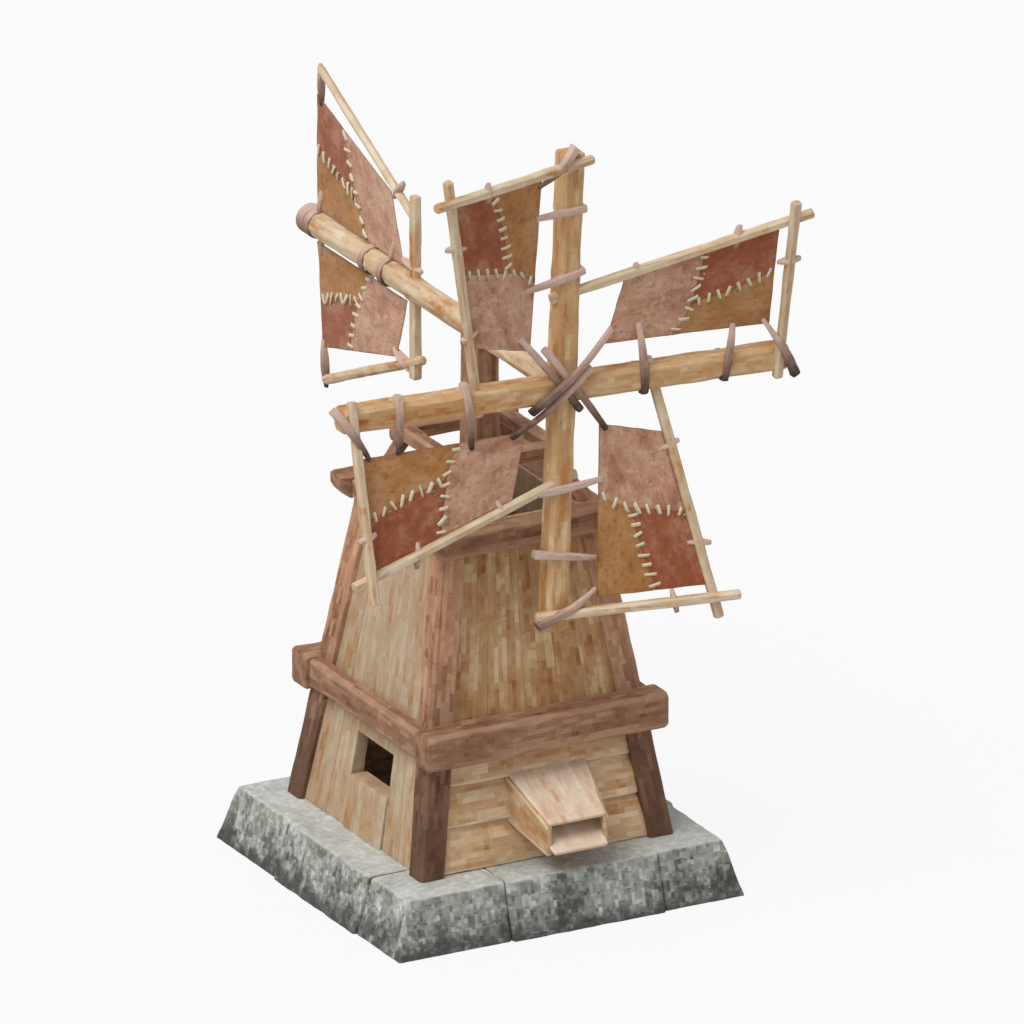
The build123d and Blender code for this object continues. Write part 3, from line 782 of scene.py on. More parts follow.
@dataclass(frozen=True)
class Wood:
    """Weathered wood whose grain runs along each piece.

    Attributes:
        name: of the material.
        pale: the lightest colour of the wood.
        body: its usual colour.
        streak: colour of the long stains.
        deep: colour of cracks and of the darkest stains.
        edge: colour of worn edges.
        stain: how much of the surface is stained, from 0 to 1.
        wear: how strongly the edges are lightened.
        foot: height in metres under which the wood darkens towards the ground, or 0.
        dash: how strongly the oblong dabs show, from 0 to 1.
    """

    name: str
    pale: Tone
    body: Tone
    streak: Tone
    deep: Tone
    edge: Tone
    stain: float
    wear: float
    foot: float = 0.0
    dash: float = 1.0

    def material(self) -> bpy.types.Material:
        """The wood: slow patches, oblong dabs, long stains, fine fibres, cracks, worn edges and a tint.

        Returns:
            The finished material.
        """
        graph = Graph(bpy.data.materials.new(self.name))
        grain = graph.attribute("grain")
        edge, end, tint = graph.parts(graph.attribute("marks"))
        patches = graph.noise(grain, (7.0, 7.0, 2.6), 4.0, 0.58)
        stains = graph.noise(grain, (14.0, 14.0, 2.4), 4.0, 0.6)
        fibres = graph.noise(grain, (140.0, 140.0, 8.0), 3.0)
        cracks = graph.noise(grain, (50.0, 50.0, 1.3), 2.0)
        bands = graph.dabs(grain, 13.0, 1.3)
        long_dabs = graph.dabs(grain, 26.0, 7.0)
        short_dabs = graph.dabs(grain, 26.0, 17.0)
        share = 0.54 * self.dash
        tone = patches * (1.0 - share) + (bands * 0.40 + long_dabs * 0.38 + short_dabs * 0.22) * share
        colour = graph.blend(tone.rise(0.26, 0.50), self.streak, self.body)
        colour = graph.blend(tone.rise(0.48, 0.70), colour, self.pale)
        low = 0.70 - 0.3 * self.stain
        colour = graph.blend(stains.rise(low, low + 0.12) * (0.20 + short_dabs * 0.60), colour, self.streak)
        colour = graph.blend(tone.rise(0.32, 0.18) * 0.55, colour, self.deep)
        colour = graph.blend(fibres.rise(0.56, 0.36) * 0.12, colour, self.deep)
        split = cracks.rise(0.285, 0.262)
        colour = graph.blend(split * 0.5, colour, self.deep)
        worn = (edge * (0.15 + patches * 1.1) * self.wear).clamped()
        colour = graph.blend(worn, colour, self.edge)
        colour = graph.blend((end * 0.3).clamped(), colour, self.streak)
        if self.foot:
            height = graph.parts(graph.object_place())[2]
            low_down = (height + (long_dabs - 0.5) * 0.4).rise(self.foot, 0.7)
            colour = graph.blend(low_down * 0.82, colour, self.deep)
        shift = {"Value": 0.88 + tint * 0.24, "Saturation": 1.05 - tint * 0.10, "Color": colour}
        colour = graph.add("HueSaturation", {}, shift)
        height = fibres * 0.3 + stains * 0.25 + tone * 0.45 - split * 0.6
        return graph.finish(colour, 0.66 + fibres * 0.22, height, 0.0035)


@dataclass(frozen=True)
class Stone:
    """Rough grey stone that darkens towards the ground.

    Attributes:
        name: of the material.
        pale: colour of worn edges and of the painted light on the tops.
        body: usual colour.
        moss: greenish grey of the sheltered parts.
        deep: colour of pits and of the foot, which darkens towards the ground.
        damp: height up to which the foot darkens towards the ground.
    """

    name: str
    pale: Tone
    body: Tone
    moss: Tone
    deep: Tone
    damp: float

    def material(self) -> bpy.types.Material:
        """The stone: clouds, small oblong dabs, grains, a worn upper edge, painted light on the tops
        and a dark, ragged foot.

        Returns:
            The finished material.
        """
        graph = Graph(bpy.data.materials.new(self.name))
        place = graph.object_place()
        edge, top, tint = graph.parts(graph.attribute("marks"))
        clouds = graph.noise(place, (3.6, 3.6, 5.0), 4.0, 0.6)
        drift = graph.noise(place, (9.0, 9.0, 3.5), 4.0, 0.6)
        crumbs = graph.noise(place, (90.0, 90.0, 70.0), 3.0)
        small = graph.dabs(place, 34.0, 26.0)
        broad = graph.dabs(place, 17.0, 11.0)
        height = graph.parts(place)[2]
        tone = small * 0.24 + broad * 0.22 + drift * 0.30 + clouds * 0.24
        colour = graph.blend(tone.rise(0.26, 0.62), self.moss, self.body)
        colour = graph.blend(tone.rise(0.52, 0.86), colour, self.pale)
        # the foot darkens towards the ground in ragged clusters, but not on the tops
        foot = (height + (tone - 0.5) * 0.26 + (clouds - 0.5) * 0.66).rise(self.damp, -0.03)
        colour = graph.blend(foot * (1.0 - top) * 0.88, colour, self.deep)
        # dark pits, halved on the tops as part of their painted light
        colour = graph.blend(tone.rise(0.36, 0.22) * (1.0 - top * 0.5) * 0.40, colour, self.deep)
        # worn upper edges, and painted light: the tops are painted paler, as if lit from above
        colour = graph.blend(((edge * 0.35 + top * 0.50) * (0.50 + clouds)).clamped(), colour, self.pale)
        colour = graph.blend(crumbs.rise(0.40, 0.28) * 0.2, colour, self.deep)
        colour = graph.add("HueSaturation", {}, {"Value": 0.94 + tint * 0.12, "Color": colour})
        relief = tone * 0.6 + crumbs * 0.25 + drift * 0.15
        return graph.finish(colour, 0.80 + crumbs * 0.15, relief, 0.009)


@dataclass(frozen=True)
class Suede:
    """Three patches of hide sewn together along two seams.

    Attributes:
        name: of the material.
        root: colour of the patch next to the hub.
        outer: colour of the patch at the far tip.
        inner: colour of the patch beside the arm, at the tip.
        fleck: colour of the pale flecks in the nap.
        deep: colour of the dark blotches.
    """

    name: str
    root: Tone
    outer: Tone
    inner: Tone
    fleck: Tone
    deep: Tone

    def material(self) -> bpy.types.Material:
        """The hide: marks hold the signed distances to the two seams and the distance to the rim.

        Returns:
            The finished material.
        """
        graph = Graph(bpy.data.materials.new(self.name))
        place = graph.attribute("grain")
        cross, tip, rim = graph.parts(graph.attribute("marks"))
        clouds = graph.noise(place, (5.0, 9.0, 3.6), 4.0, 0.62)
        nap = graph.noise(place, (22.0, 30.0, 17.0), 5.0, 0.70)
        hair = graph.noise(place, (110.0, 150.0, 80.0), 3.0, 0.6)
        scuffs = graph.noise(place, (7.0, 9.0, 15.0), 4.0, 0.66)
        waver = (nap - 0.5) * 0.012
        past_cross = (cross + waver).rise(-0.001, 0.001)
        past_tip = (tip + waver).rise(-0.001, 0.001)
        patch = graph.blend(past_tip, self.outer, self.inner)
        pale_patch = graph.blend(0.35, patch, self.fleck)
        root = graph.blend(clouds.rise(0.42, 0.64) * 0.55, self.root, self.fleck)
        root = graph.blend(scuffs.rise(0.50, 0.64) * 0.65, root, self.fleck)
        patch = graph.blend(clouds.rise(0.46, 0.66) * 0.75, patch, pale_patch)
        colour = graph.blend(past_cross, root, patch)
        colour = graph.blend(nap.rise(0.53, 0.70) * 0.22, colour, self.fleck)
        colour = graph.blend(nap.rise(0.50, 0.32) * 0.50, colour, self.deep)
        colour = graph.blend(clouds.rise(0.47, 0.28) * 0.42, colour, self.deep)
        colour = graph.blend(hair.rise(0.50, 0.36) * 0.28, colour, self.deep)
        seam = cross.size().rise(0.008, 0.002) + tip.size().rise(0.008, 0.002) * past_cross
        colour = graph.blend(seam.clamped() * 0.35, colour, self.deep)
        colour = graph.blend(rim.rise(0.010, 0.0) * 0.4, colour, self.deep)
        lap = past_cross * 0.25 + past_tip * past_cross * 0.25
        relief = nap * 0.35 + hair * 0.2 + lap - seam.clamped() * 0.25
        return graph.finish(colour, 0.84 + nap * 0.14, relief, 0.005, 0.2)


@dataclass(frozen=True)
class Rawhide:
    """Dried thong or sinew cord.

    Attributes:
        name: of the material.
        body: its usual colour.
        pale: colour of the painted light on the upper parts.
        deep: colour of cut ends, of dark fibres and of the painted shade on the lower parts.
        fine: how many times finer than a thong's its pattern is.
    """

    name: str
    body: Tone
    pale: Tone
    deep: Tone
    fine: float

    def material(self) -> bpy.types.Material:
        """The strip: painted shade low down, darker cut ends, painted light higher up, with long fibres.

        Returns:
            The finished material.
        """
        graph = Graph(bpy.data.materials.new(self.name))
        grain = graph.attribute("grain")
        _, end, light = graph.parts(graph.attribute("marks"))
        fibres, patches = (
            graph.noise(grain, tuple(self.fine * scale for scale in scales), 3.0)
            for scales in ((110.0, 110.0, 14.0), (16.0, 16.0, 11.0))
        )
        # painted light and shade: the light mark, high where the strip lies high or faces up, makes it
        # paler above and darker below
        tone = light * 0.80 + patches * 0.4 - 0.12
        colour = graph.blend(tone.rise(0.0, 0.46), self.deep, self.body)
        colour = graph.blend(tone.rise(0.36, 0.84), colour, self.pale)
        colour = graph.blend(fibres.rise(0.54, 0.36) * 0.18, colour, self.deep)
        # the ends darken the more, the lower they lie: cut ends with painted shade
        colour = graph.blend((end * (1.0 - light * 0.75)).clamped() * 0.7, colour, self.deep)
        return graph.finish(colour, 0.6 + fibres * 0.25, fibres * 0.7 + patches * 0.3, 0.0025)


class Slot(Enum):
    """Material slots of the record, with the finish that each takes here."""

    STONE = "stone"
    BOARDS = "boards"
    DARK = "dark_timber"
    PALE = "pale_timber"
    HIDE = "hide"
    THONG = "thong"


@dataclass(frozen=True)
class Finishes:
    """Every finish on the mill.

    Attributes:
        stone: of the foot.
        front: of the upright boards at the front and back.
        logs: of the level half logs and the cheeks of the chute.
        boards: of the side walls and the hatch's sill.
        peach: of the chute's lid and tray.
        stock: of the two stocks.
        pale: of poles, windshaft and tail board.
        dark: of rails, beams, struts and the centre post.
        post: of the corner posts.
        hide: of the sails and the tail.
        thong: of the ties.
        sinew: of the stitches.
    """

    stone: Stone = Stone(
        "plinth_stone", (216, 217, 213), (160, 162, 154), (100, 104, 92), (22, 23, 21), damp=0.35
    )
    front: Wood = Wood(
        "puncheon_wood", (220, 192, 150), (194, 154, 110), (172, 116, 68), (104, 70, 38), (214, 182, 140),
        stain=0.4, wear=0.3,
    )
    logs: Wood = Wood(
        "half_log_wood", (230, 202, 168), (210, 174, 134), (188, 140, 94), (122, 82, 48), (240, 220, 190),
        stain=0.3, wear=0.9,
    )
    boards: Wood = Wood(
        "side_board_wood", (198, 182, 156), (186, 160, 130), (178, 130, 88), (122, 90, 64), (202, 182, 152),
        stain=0.42, wear=0.2, dash=0.75,
    )
    peach: Wood = Wood(
        "chute_wood", (228, 212, 192), (218, 194, 168), (206, 162, 124), (150, 110, 76), (232, 214, 192),
        stain=0.25, wear=0.4, dash=0.8,
    )
    stock: Wood = Wood(
        "stock_wood", (224, 194, 154), (202, 158, 110), (180, 116, 56), (104, 64, 28), (218, 186, 142),
        stain=0.55, wear=0.4, dash=0.7,
    )
    pale: Wood = Wood(
        "peeled_wood", (226, 210, 184), (210, 184, 150), (188, 126, 68), (116, 80, 48), (226, 208, 178),
        stain=0.52, wear=0.4, dash=0.7,
    )
    dark: Wood = Wood(
        "hewn_wood", (178, 136, 108), (150, 110, 84), (124, 84, 58), (66, 44, 35), (190, 152, 126),
        stain=0.35, wear=0.6,
    )
    post: Wood = Wood(
        "post_wood", (214, 168, 136), (190, 142, 110), (156, 104, 72), (64, 42, 31), (212, 170, 140),
        stain=0.4, wear=0.4, foot=2.5,
    )
    hide: Suede = Suede(
        "patched_suede", (194, 142, 114), (158, 86, 52), (178, 124, 68), (218, 180, 152), (104, 60, 38)
    )
    thong: Rawhide = Rawhide("rawhide_thong", (160, 126, 110), (214, 184, 168), (38, 26, 21), 1.0)
    sinew: Rawhide = Rawhide("sinew_stitch", (196, 178, 142), (238, 226, 200), (64, 48, 32), 1.6)

    def build(self) -> dict[str, bpy.types.Material]:
        """Makes each material once, by the name of its field."""
        return {key: getattr(self, key).material() for key in self.__dataclass_fields__}


# ---- putting pieces in the scene
@dataclass
class Bench:
    """Where finished pieces are put into the scene.

    Attributes:
        materials: the finishes, by name.
        made: names of the pieces so far.
    """

    materials: dict[str, bpy.types.Material]
    made: list[str] = field(default_factory=list)

    def put(
        self,
        name: str,
        skins: Iterable[Skin],
        finish: str,
        body: str,
        stands_for: Sequence[str] = (),
        crease: float = CRISP,
    ) -> bpy.types.Object:
        """Makes one piece of closed surfaces and fixes it to a body.

        Args:
            name: of the piece.
            skins: its surfaces.
            finish: name of its material.
            body: the part of the mill that it moves with.
            stands_for: names of the plain solids that it takes the place of.
            crease: angle in degrees past which two faces meet in a sharp edge.

        Returns:
            The new object.
        """
        skin = Skin.join(skins)
        count = len(skin.faces)
        mesh = bpy.data.meshes.new(name)
        mesh.vertices.add(len(skin.points))
        mesh.vertices.foreach_set("co", skin.points.astype(np.float32).ravel())
        mesh.loops.add(4 * count)
        mesh.loops.foreach_set("vertex_index", skin.faces.astype(np.int32).ravel())
        mesh.polygons.add(count)
        mesh.polygons.foreach_set("loop_start", np.arange(0, 4 * count, 4, dtype=np.int32))
        for label, values in (("grain", skin.grain), ("marks", skin.marks)):
            attribute = mesh.attributes.new(label, "FLOAT_VECTOR", "POINT")
            attribute.data.foreach_set("vector", values.astype(np.float32).ravel())
        mesh.update(calc_edges=True)
        mesh.shade_smooth()
        mesh.set_sharp_from_angle(angle=math.radians(crease))
        mesh.materials.append(self.materials[finish])
        piece = bpy.data.objects.new(name, mesh)
        bpy.context.scene.collection.objects.link(piece)
        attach(piece, body)
        if stands_for:
            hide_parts(*stands_for)
        self.made.append(name)
        log.info("%s: %d faces on %s", name, count, body)
        return piece


# ---- stone foot
@dataclass
class Plinth:
    """Ring of rough stone blocks with leaning outer faces, and the floor inside it.

    Attributes:
        half: half the width at the ground.
        height: of the corner blocks.
        middle_height: of the blocks between them.
        batter: how far each outer face leans in.
        ring: depth of the ring from its outer foot.
        long_leg: length of a corner block along the side to its right.
        joint: gap between blocks.
        edge: how far the worn upper edges are rounded.
        proud: how far the middle blocks stand out.
        rough: how far the faces wander.
        floor_top: height of the floor.
    """

    half: float = 1.514
    height: float = 0.45
    middle_height: float = 0.454
    batter: float = 0.127
    ring: float = 0.704
    long_leg: float = 0.99
    joint: float = 0.006
    edge: float = 0.026
    proud: float = 0.026
    rough: float = 0.006
    floor_top: float = 0.438

    def block(self, low: Point, high: Point, outer: Sequence[bool], top: float, seed: int) -> Skin:
        """One rough block.

        Rectangles with rounded corners are stacked up the height, each pushed in by the lean of its
        outer faces, then drawn in over a quarter circle at the upper edge and on across the top.

        Args:
            low: lowest x and y at the ground.
            high: highest x and y at the ground.
            outer: whether the faces towards -x, +x, -y and +y are leaning outer faces.
            top: height of the block.
            seed: picks its tint.

        Returns:
            The block's closed surface.
        """
        rise = np.linspace(0, top - self.edge, 17)
        turn = np.linspace(0, math.pi / 2, 8)[1:]
        narrow = min(high[0] - low[0], high[1] - low[1]) / 2 - self.batter - 0.02
        inwards = np.linspace(0, narrow - self.edge, 14)[1:]
        z = np.concatenate([rise, top - self.edge * (1 - np.sin(turn)), 0 * inwards + top])
        drawn = np.concatenate([0 * rise, self.edge * (1 - np.cos(turn)), self.edge + inwards])
        lean = np.minimum(self.batter * z / self.height, self.batter)
        limits = []
        for k, (side, sign) in enumerate(zip((low[0], high[0], low[1], high[1]), (1, -1, 1, -1))):
            gap = lean if outer[k] else self.joint / 2
            round_off = drawn if outer[k] else np.maximum(0, drawn - self.edge * 0.6)
            limits.append(side + sign * (gap + round_off) + 0 * z)
        middle = np.stack([(limits[0] + limits[1]) / 2, (limits[2] + limits[3]) / 2], -1)[:, None]
        halves = np.stack([limits[1] - limits[0], limits[3] - limits[2]], -1)[:, None] / 2
        steps = [max(8, int(2 * half / 0.022)) for half in halves[0, 0]]
        corners = np.array(CORNERS, float)
        shares = [np.linspace(0, 1, steps[k % 2], endpoint=False)[:, None] for k in range(4)]
        around = np.concatenate([mix(corners[k], corners[(k + 1) % 4], shares[k]) for k in range(4)])
        flat = around[None] * halves
        radius = np.minimum(0.016, 0.4 * halves.min(-1, keepdims=True))
        past = np.abs(flat) - (halves - radius)
        in_corner = (past > 0).all(-1, keepdims=True)
        pulled = past * radius / np.maximum(np.linalg.norm(past, axis=-1, keepdims=True), 1e-9)
        flat = np.where(in_corner, np.sign(flat) * (halves - radius + pulled), flat)
        tangent = np.roll(flat, -1, 1) - np.roll(flat, 1, 1)
        outward = unit(np.stack([tangent[..., 1], -tangent[..., 0]], -1) + 1e-9)
        plan = middle + flat
        height = np.broadcast_to(z[:, None, None], (*plan.shape[:2], 1))
        places = np.concatenate([plan, height], -1)
        on_top = np.broadcast_to(np.clip(drawn / self.edge, 0, 1)[:, None], places.shape[:2])
        lumps = ripple(places, 0.16, 3, 2) * self.rough + ripple(places, 0.045, 4, 2) * self.rough * 0.45
        chips = np.minimum(0, ripple(places, 0.075, 5, 2) + 0.4) * 0.012 * np.sin(math.pi * on_top**0.7)
        wall = (1 - on_top) * lumps + chips
        wall = np.where(places[..., 2] < 0.01, np.minimum(wall, 0.002), wall)
        top_wave = on_top * (ripple(places, 0.22, 6, 2) * 0.006 - 0.003)
        ground = (places[..., 2] > 0.001) * 1.0
        raised = height + ((top_wave + chips * 0.5) * ground)[..., None]
        moved = np.concatenate([plan + outward * wall[..., None], raised], -1)
        worn = np.exp(-(((on_top - 0.45) / 0.35) ** 2))
        # the second mark, how far onto the top a point lies, is painted paler by the stone finish as light
        # on the tops
        return skin_of_rings(moved, places, marked(worn.shape, worn, on_top, chance((seed, 4, 9), 5)))

    def turned(self, skin: Skin, quarters: int) -> Skin:
        """Turns a block about the mill's middle.

        Args:
            skin: the block.
            quarters: how many quarter turns, anticlockwise seen from above.

        Returns:
            The block in its new place.
        """
        turn = math.radians(90 * quarters)
        cos, sin = math.cos(turn), math.sin(turn)
        spin = np.array([[cos, -sin, 0], [sin, cos, 0], [0, 0, 1]])
        return Skin(skin.points @ spin.T, skin.faces, skin.grain, skin.marks)

    def build(self, bench: Bench) -> None:
        """Puts the corner blocks, the middle blocks and the floor in the scene.

        Args:
            bench: takes the finished pieces.
        """
        foot, inner = -self.half, self.half - self.ring
        end, reach = foot + self.long_leg, inner - 0.004
        kinds = {
            "corner": ((foot, foot), (end, -inner), True, self.height, 10),
            "middle": ((end, foot - self.proud), (inner, -inner), False, self.middle_height, 30),
        }
        for kind, (low, high, at_end, top, seed) in kinds.items():
            outer = (at_end, False, True, False)
            blocks = [self.turned(self.block(low, high, outer, top, seed + k), k) for k in range(4)]
            bench.put(f"{kind}_stones", blocks, "stone", "tower", [f"plinth_{kind}_blocks"], SOFT)
        floor = self.block((-reach, -reach), (reach, reach), (False,) * 4, self.floor_top, 77)
        bench.put("floor_stone", [floor], "stone", "tower", ["floor_slab"], SOFT)


# ---- tower
@dataclass
class TowerShape:
    """The tower's taper, shared by its posts and walls.

    Attributes:
        foot: height at which the posts start.
        head: height at which they end.
        foot_reach: distance from the middle to the posts' outer faces at the foot.
        head_reach: the same at the head.
        post: size of a post.
        wall: thickness of the walls.
        setback: how far the walls lie inside the posts' outer faces.
    """

    foot: float = 0.45
    head: float = 3.14
    foot_reach: float = 1.11
    head_reach: float = 0.69
    post: float = 0.212
    wall: float = 0.11
    setback: float = 0.05

    def reach(self, z: float) -> float:
        """Distance from the middle to the posts' outer faces at height z."""
        return mix(self.foot_reach, self.head_reach, (z - self.foot) / (self.head - self.foot))

    def half(self, z: float) -> float:
        """Half the clear width between two posts at height z."""
        return self.reach(z) - self.post


@dataclass
class TowerFrame:
    """Corner posts, and the rails that tie them together.

    Attributes:
        shape: the tower's taper.
        belt: bottom, height, depth, outer face and length of the front and back belt rails.
        side_belt: the same for the side belt rails.
        top: the same for the front and back top rails.
        side_top: the same for the side top rails.
        top_slant: how far the underside of a front or back top rail rises towards each end.
        post_hewing: how the posts are worked.
        rail_hewing: how the rails are worked, with broad flat bevels.
    """

    shape: TowerShape
    belt: Point = (1.347, 0.292, 0.250, 1.137, 2.110)
    side_belt: Point = (1.372, 0.240, 0.145, 1.032, 1.774)
    top: Point = (2.950, 0.215, 0.185, 0.858, 1.730)
    side_top: Point = (2.965, 0.180, 0.205, 0.770, 1.346)
    top_slant: float = 0.10
    post_hewing: Hewing = Hewing(0.013, 0.0025, (0.004, 0.012), (0.002, 0.010), 0.03)
    rail_hewing: Hewing = Hewing(0.034, 0.003, (0.026, 0.026), (0.024, 0.024), 0.028, 8)

    def posts(self) -> list[Skin]:
        """The four leaning posts.

        Returns:
            One surface for each.
        """
        shape = self.shape
        low, high = ((shape.reach(z) - shape.post / 2, z) for z in (shape.foot, shape.head))
        return over_corners(low, high, shape.post, self.post_hewing, 40, (0.4, 0.07))

    def rail(self, sizes: Point, outward: Point, seed: int, slant: float = 0.0) -> Skin:
        """A level rail.

        Args:
            sizes: bottom, height, depth, outer face and length.
            outward: the way that its outer face looks.
            seed: picks its pattern.
            slant: how far the underside rises towards each end.

        Returns:
            The rail's closed surface.
        """
        bottom, height, depth, face, length = sizes
        out = np.asarray(outward, float)
        run = np.abs(np.cross(out, UP))
        middle = out * (face - depth / 2) + UP * (bottom + height / 2)
        ends = (middle - run * length / 2, middle + run * length / 2)
        skin = Timber(*ends, out, (depth,) * 2, (height,) * 2, self.rail_hewing, seed, 0.55).skin()
        along = length / 2 - np.abs(skin.points @ run)
        share = (bottom + height - skin.points[:, 2]) / height
        skin.points[:, 2] += slant * np.clip(1 - along / max(slant, 0.01), 0, 1) * share
        return skin

    def build(self, bench: Bench) -> None:
        """Puts the posts and the rails in the scene.

        Args:
            bench: takes the finished pieces.
        """
        bench.put("corner_timbers", self.posts(), "post", "tower", ["corner_posts"])
        sides = {"front": (0, -1, 0), "back": (0, 1, 0), "left": (-1, 0, 0), "right": (1, 0, 0)}
        for k, (side, outward) in enumerate(sides.items()):
            belt_sizes, top_sizes, slant = (
                (self.belt, self.top, self.top_slant) if k < 2 else (self.side_belt, self.side_top, 0.0)
            )
            belt = self.rail(belt_sizes, outward, 60 + k)
            top = self.rail(top_sizes, outward, 70 + k, slant)
            bench.put(f"belt_{side}", [belt], "dark", "tower", [f"belt_rail_{side}"])
            bench.put(f"head_rail_{side}", [top], "dark", "tower", [f"top_rail_{side}"])


@dataclass
class TowerWalls:
    """Walls of thick split boards between the posts.

    Attributes:
        shape: the tower's taper.
        change: height at which the front and back change from level to upright boards.
        top: height of the walls.
        level_joints: heights of the joints between level boards.
        gap: between boards.
        swell: how far a level board's face falls back at its upper edge, like a half log's.
        hatch: front and back ends, bottom and top of the opening in the left wall.
        flour_way: left and right ends and bottom of the opening in the front wall.
        upright_hewing: how the upright boards are worked.
        level_hewing: how the level boards are worked.
    """

    shape: TowerShape
    change: float = 1.5
    top: float = 3.10
    level_joints: Point = (0.45, 0.80, 1.12, 1.5)
    gap: float = 0.001
    swell: float = 0.050
    hatch: Point = (-0.345, 0.255, 0.88, 1.215)
    flour_way: Point = (-0.2, 0.348, 0.866)
    upright_hewing: Hewing = Hewing(0.0035, 0.0015, (0.004, 0.006), (0.002, 0.004), 0.03, 8)
    level_hewing: Hewing = Hewing(0.010, 0.0025, (0.004, 0.004), (0.001, 0.001), 0.03, 14, 2)

    def axes(self, outward: Point) -> tuple[Array, Array]:
        """A wall's outward direction and the level direction along it."""
        out = np.asarray(outward, float)
        return out, np.abs(np.cross(out, UP))

    def depth_at(self, z: float) -> float:
        """Distance from the middle to the middle of a wall's thickness at height z."""
        return self.shape.reach(z) - self.shape.setback - self.shape.wall / 2

    def upright(self, outward: Point, low: Point, high: Point, seed: int) -> Skin:
        """One upright board.

        Args:
            outward: the way that the wall looks.
            low: its height at the foot, and its two edges there, measured along the wall.
            high: the same at its head.
            seed: picks its pattern, its tint and how far it stands back.

        Returns:
            The board's closed surface.
        """
        out, run = self.axes(outward)
        back = 0.005 * chance((seed, 5, 1), 4)
        ends = [out * (self.depth_at(z) - back) + run * (a + b) / 2 + UP * z for z, a, b in (low, high)]
        sizes = ((low[2] - low[1] - self.gap, high[2] - high[1] - self.gap), (self.shape.wall,) * 2)
        tint = 0.25 + 0.5 * chance((seed, 3, 2), 6)
        return Timber(*ends, run, *sizes, self.upright_hewing, seed, tint, out).skin()

    def upright_wall(self, outward: Point, bottom: float, shares: Point, seed: int) -> list[Skin]:
        """Upright boards side by side, all tapering with the wall.

        Args:
            outward: the way that the wall looks.
            bottom: height of the boards' feet.
            shares: the joints, as shares of half the clear width.
            seed: picks the patterns.

        Returns:
            The boards.
        """
        halves = [(z, self.shape.half(z)) for z in (bottom, self.top)]
        return [
            self.upright(outward, *((z, a * half, b * half) for z, half in halves), seed + k)
            for k, (a, b) in enumerate(zip(shares[:-1], shares[1:]))
        ]

    def level(self, outward: Point, row: int, ends: Point | None, seed: int, top: float = 0.0) -> Skin:
        """One level board.

        The board leans with the wall. Its face stands 12 mm out like a half log's, falls back above the
        share s = 0.5 of its height by the swell times (2s - 1)^1.7, and is drawn in at its foot by 12 mm
        times (1 - 10s)^2. Its ends are cut to the taper between the posts.

        Args:
            outward: the way that the wall looks.
            row: which row it lies in, from the bottom.
            ends: where it starts and stops along the wall, or None to run from post to post.
            seed: picks its pattern.
            top: height of its upper edge, or 0 for the row's own.

        Returns:
            The board's closed surface.
        """
        out, run = self.axes(outward)
        low, high = self.level_joints[row], top or self.level_joints[row + 1]
        middle, half = (low + high) / 2, self.shape.half(low)
        span = ends or (-half - 0.004, half + 0.004)
        centre = out * self.depth_at(middle) + UP * middle
        slope = self.depth_at(low) - self.depth_at(high)
        tint = 0.35 + 0.3 * chance((seed, 3, 2), 6)
        tips = (centre + run * place for place in span)
        sizes = ((high - low - self.gap,) * 2, (self.shape.wall,) * 2)
        skin = Timber(*tips, UP, *sizes, self.level_hewing, seed, tint).skin()
        height = skin.points[:, 2] - low
        rise = height / (high - low)
        fall, foot = np.clip(2 * rise - 1, 0, 1) ** 1.7, np.clip(1 - rise / 0.1, 0, 1) ** 2
        swell = np.where((skin.points - centre) @ out > 0, 0.012 - self.swell * fall - 0.012 * foot, 0.0)
        skin.points += out * (slope * (0.5 - rise) + swell)[:, None]
        limit = half - height * (half - self.shape.half(high)) / (high - low)
        place = skin.points @ run
        skin.points += run * (np.clip(place, -limit, limit) - place)[:, None]
        return skin

    def front(self) -> list[Skin]:
        """The front wall below the change.

        Returns:
            The level boards, with the flour's way between the middle ones.
        """
        left, right, bottom = self.flour_way
        edge = self.shape.half(self.level_joints[1])
        rows = (
            (0, None, 100),
            (1, (-edge, left), 101),
            (1, (left, right), 102, bottom),
            (1, (right, edge), 103),
            (2, None, 104),
        )
        return [self.level((0, -1, 0), *row) for row in rows]

    def left(self) -> list[Skin]:
        """The left wall.

        Returns:
            The upright boards, round the hatch.
        """
        front, back, bottom, top = self.hatch
        middle = (bottom + top) / 2
        out = (-1, 0, 0)

        def edges(z: float) -> Point:
            """Ends of the wall and sides of the hatch's bay at height z."""
            half, drawn = self.shape.half(z), 0.04 * (z - middle)
            return (-half - 0.004, front + drawn, back - drawn, half + 0.004)

        def bay(first: int, heights: Point, shares: Point, seed: int) -> list[Skin]:
            """Boards in one bay.

            Args:
                first: which of the edges the bay starts at.
                heights: of the boards' feet and heads.
                shares: the joints, as shares of the bay's width.
                seed: picks the patterns.

            Returns:
                The boards.
            """
            rows = [(z, [mix(*edges(z)[first : first + 2], share) for share in shares]) for z in heights]
            return [
                self.upright(out, *((z, row[k], row[k + 1]) for z, row in rows), seed + k)
                for k in range(len(shares) - 1)
            ]

        full = (self.shape.foot, self.top)
        return [
            *bay(0, full, (0, 0.52, 1), 120),
            *bay(1, (top, self.top), (0, 0.55, 1), 140),
            *bay(2, full, (0, 0.46, 1), 150),
        ]

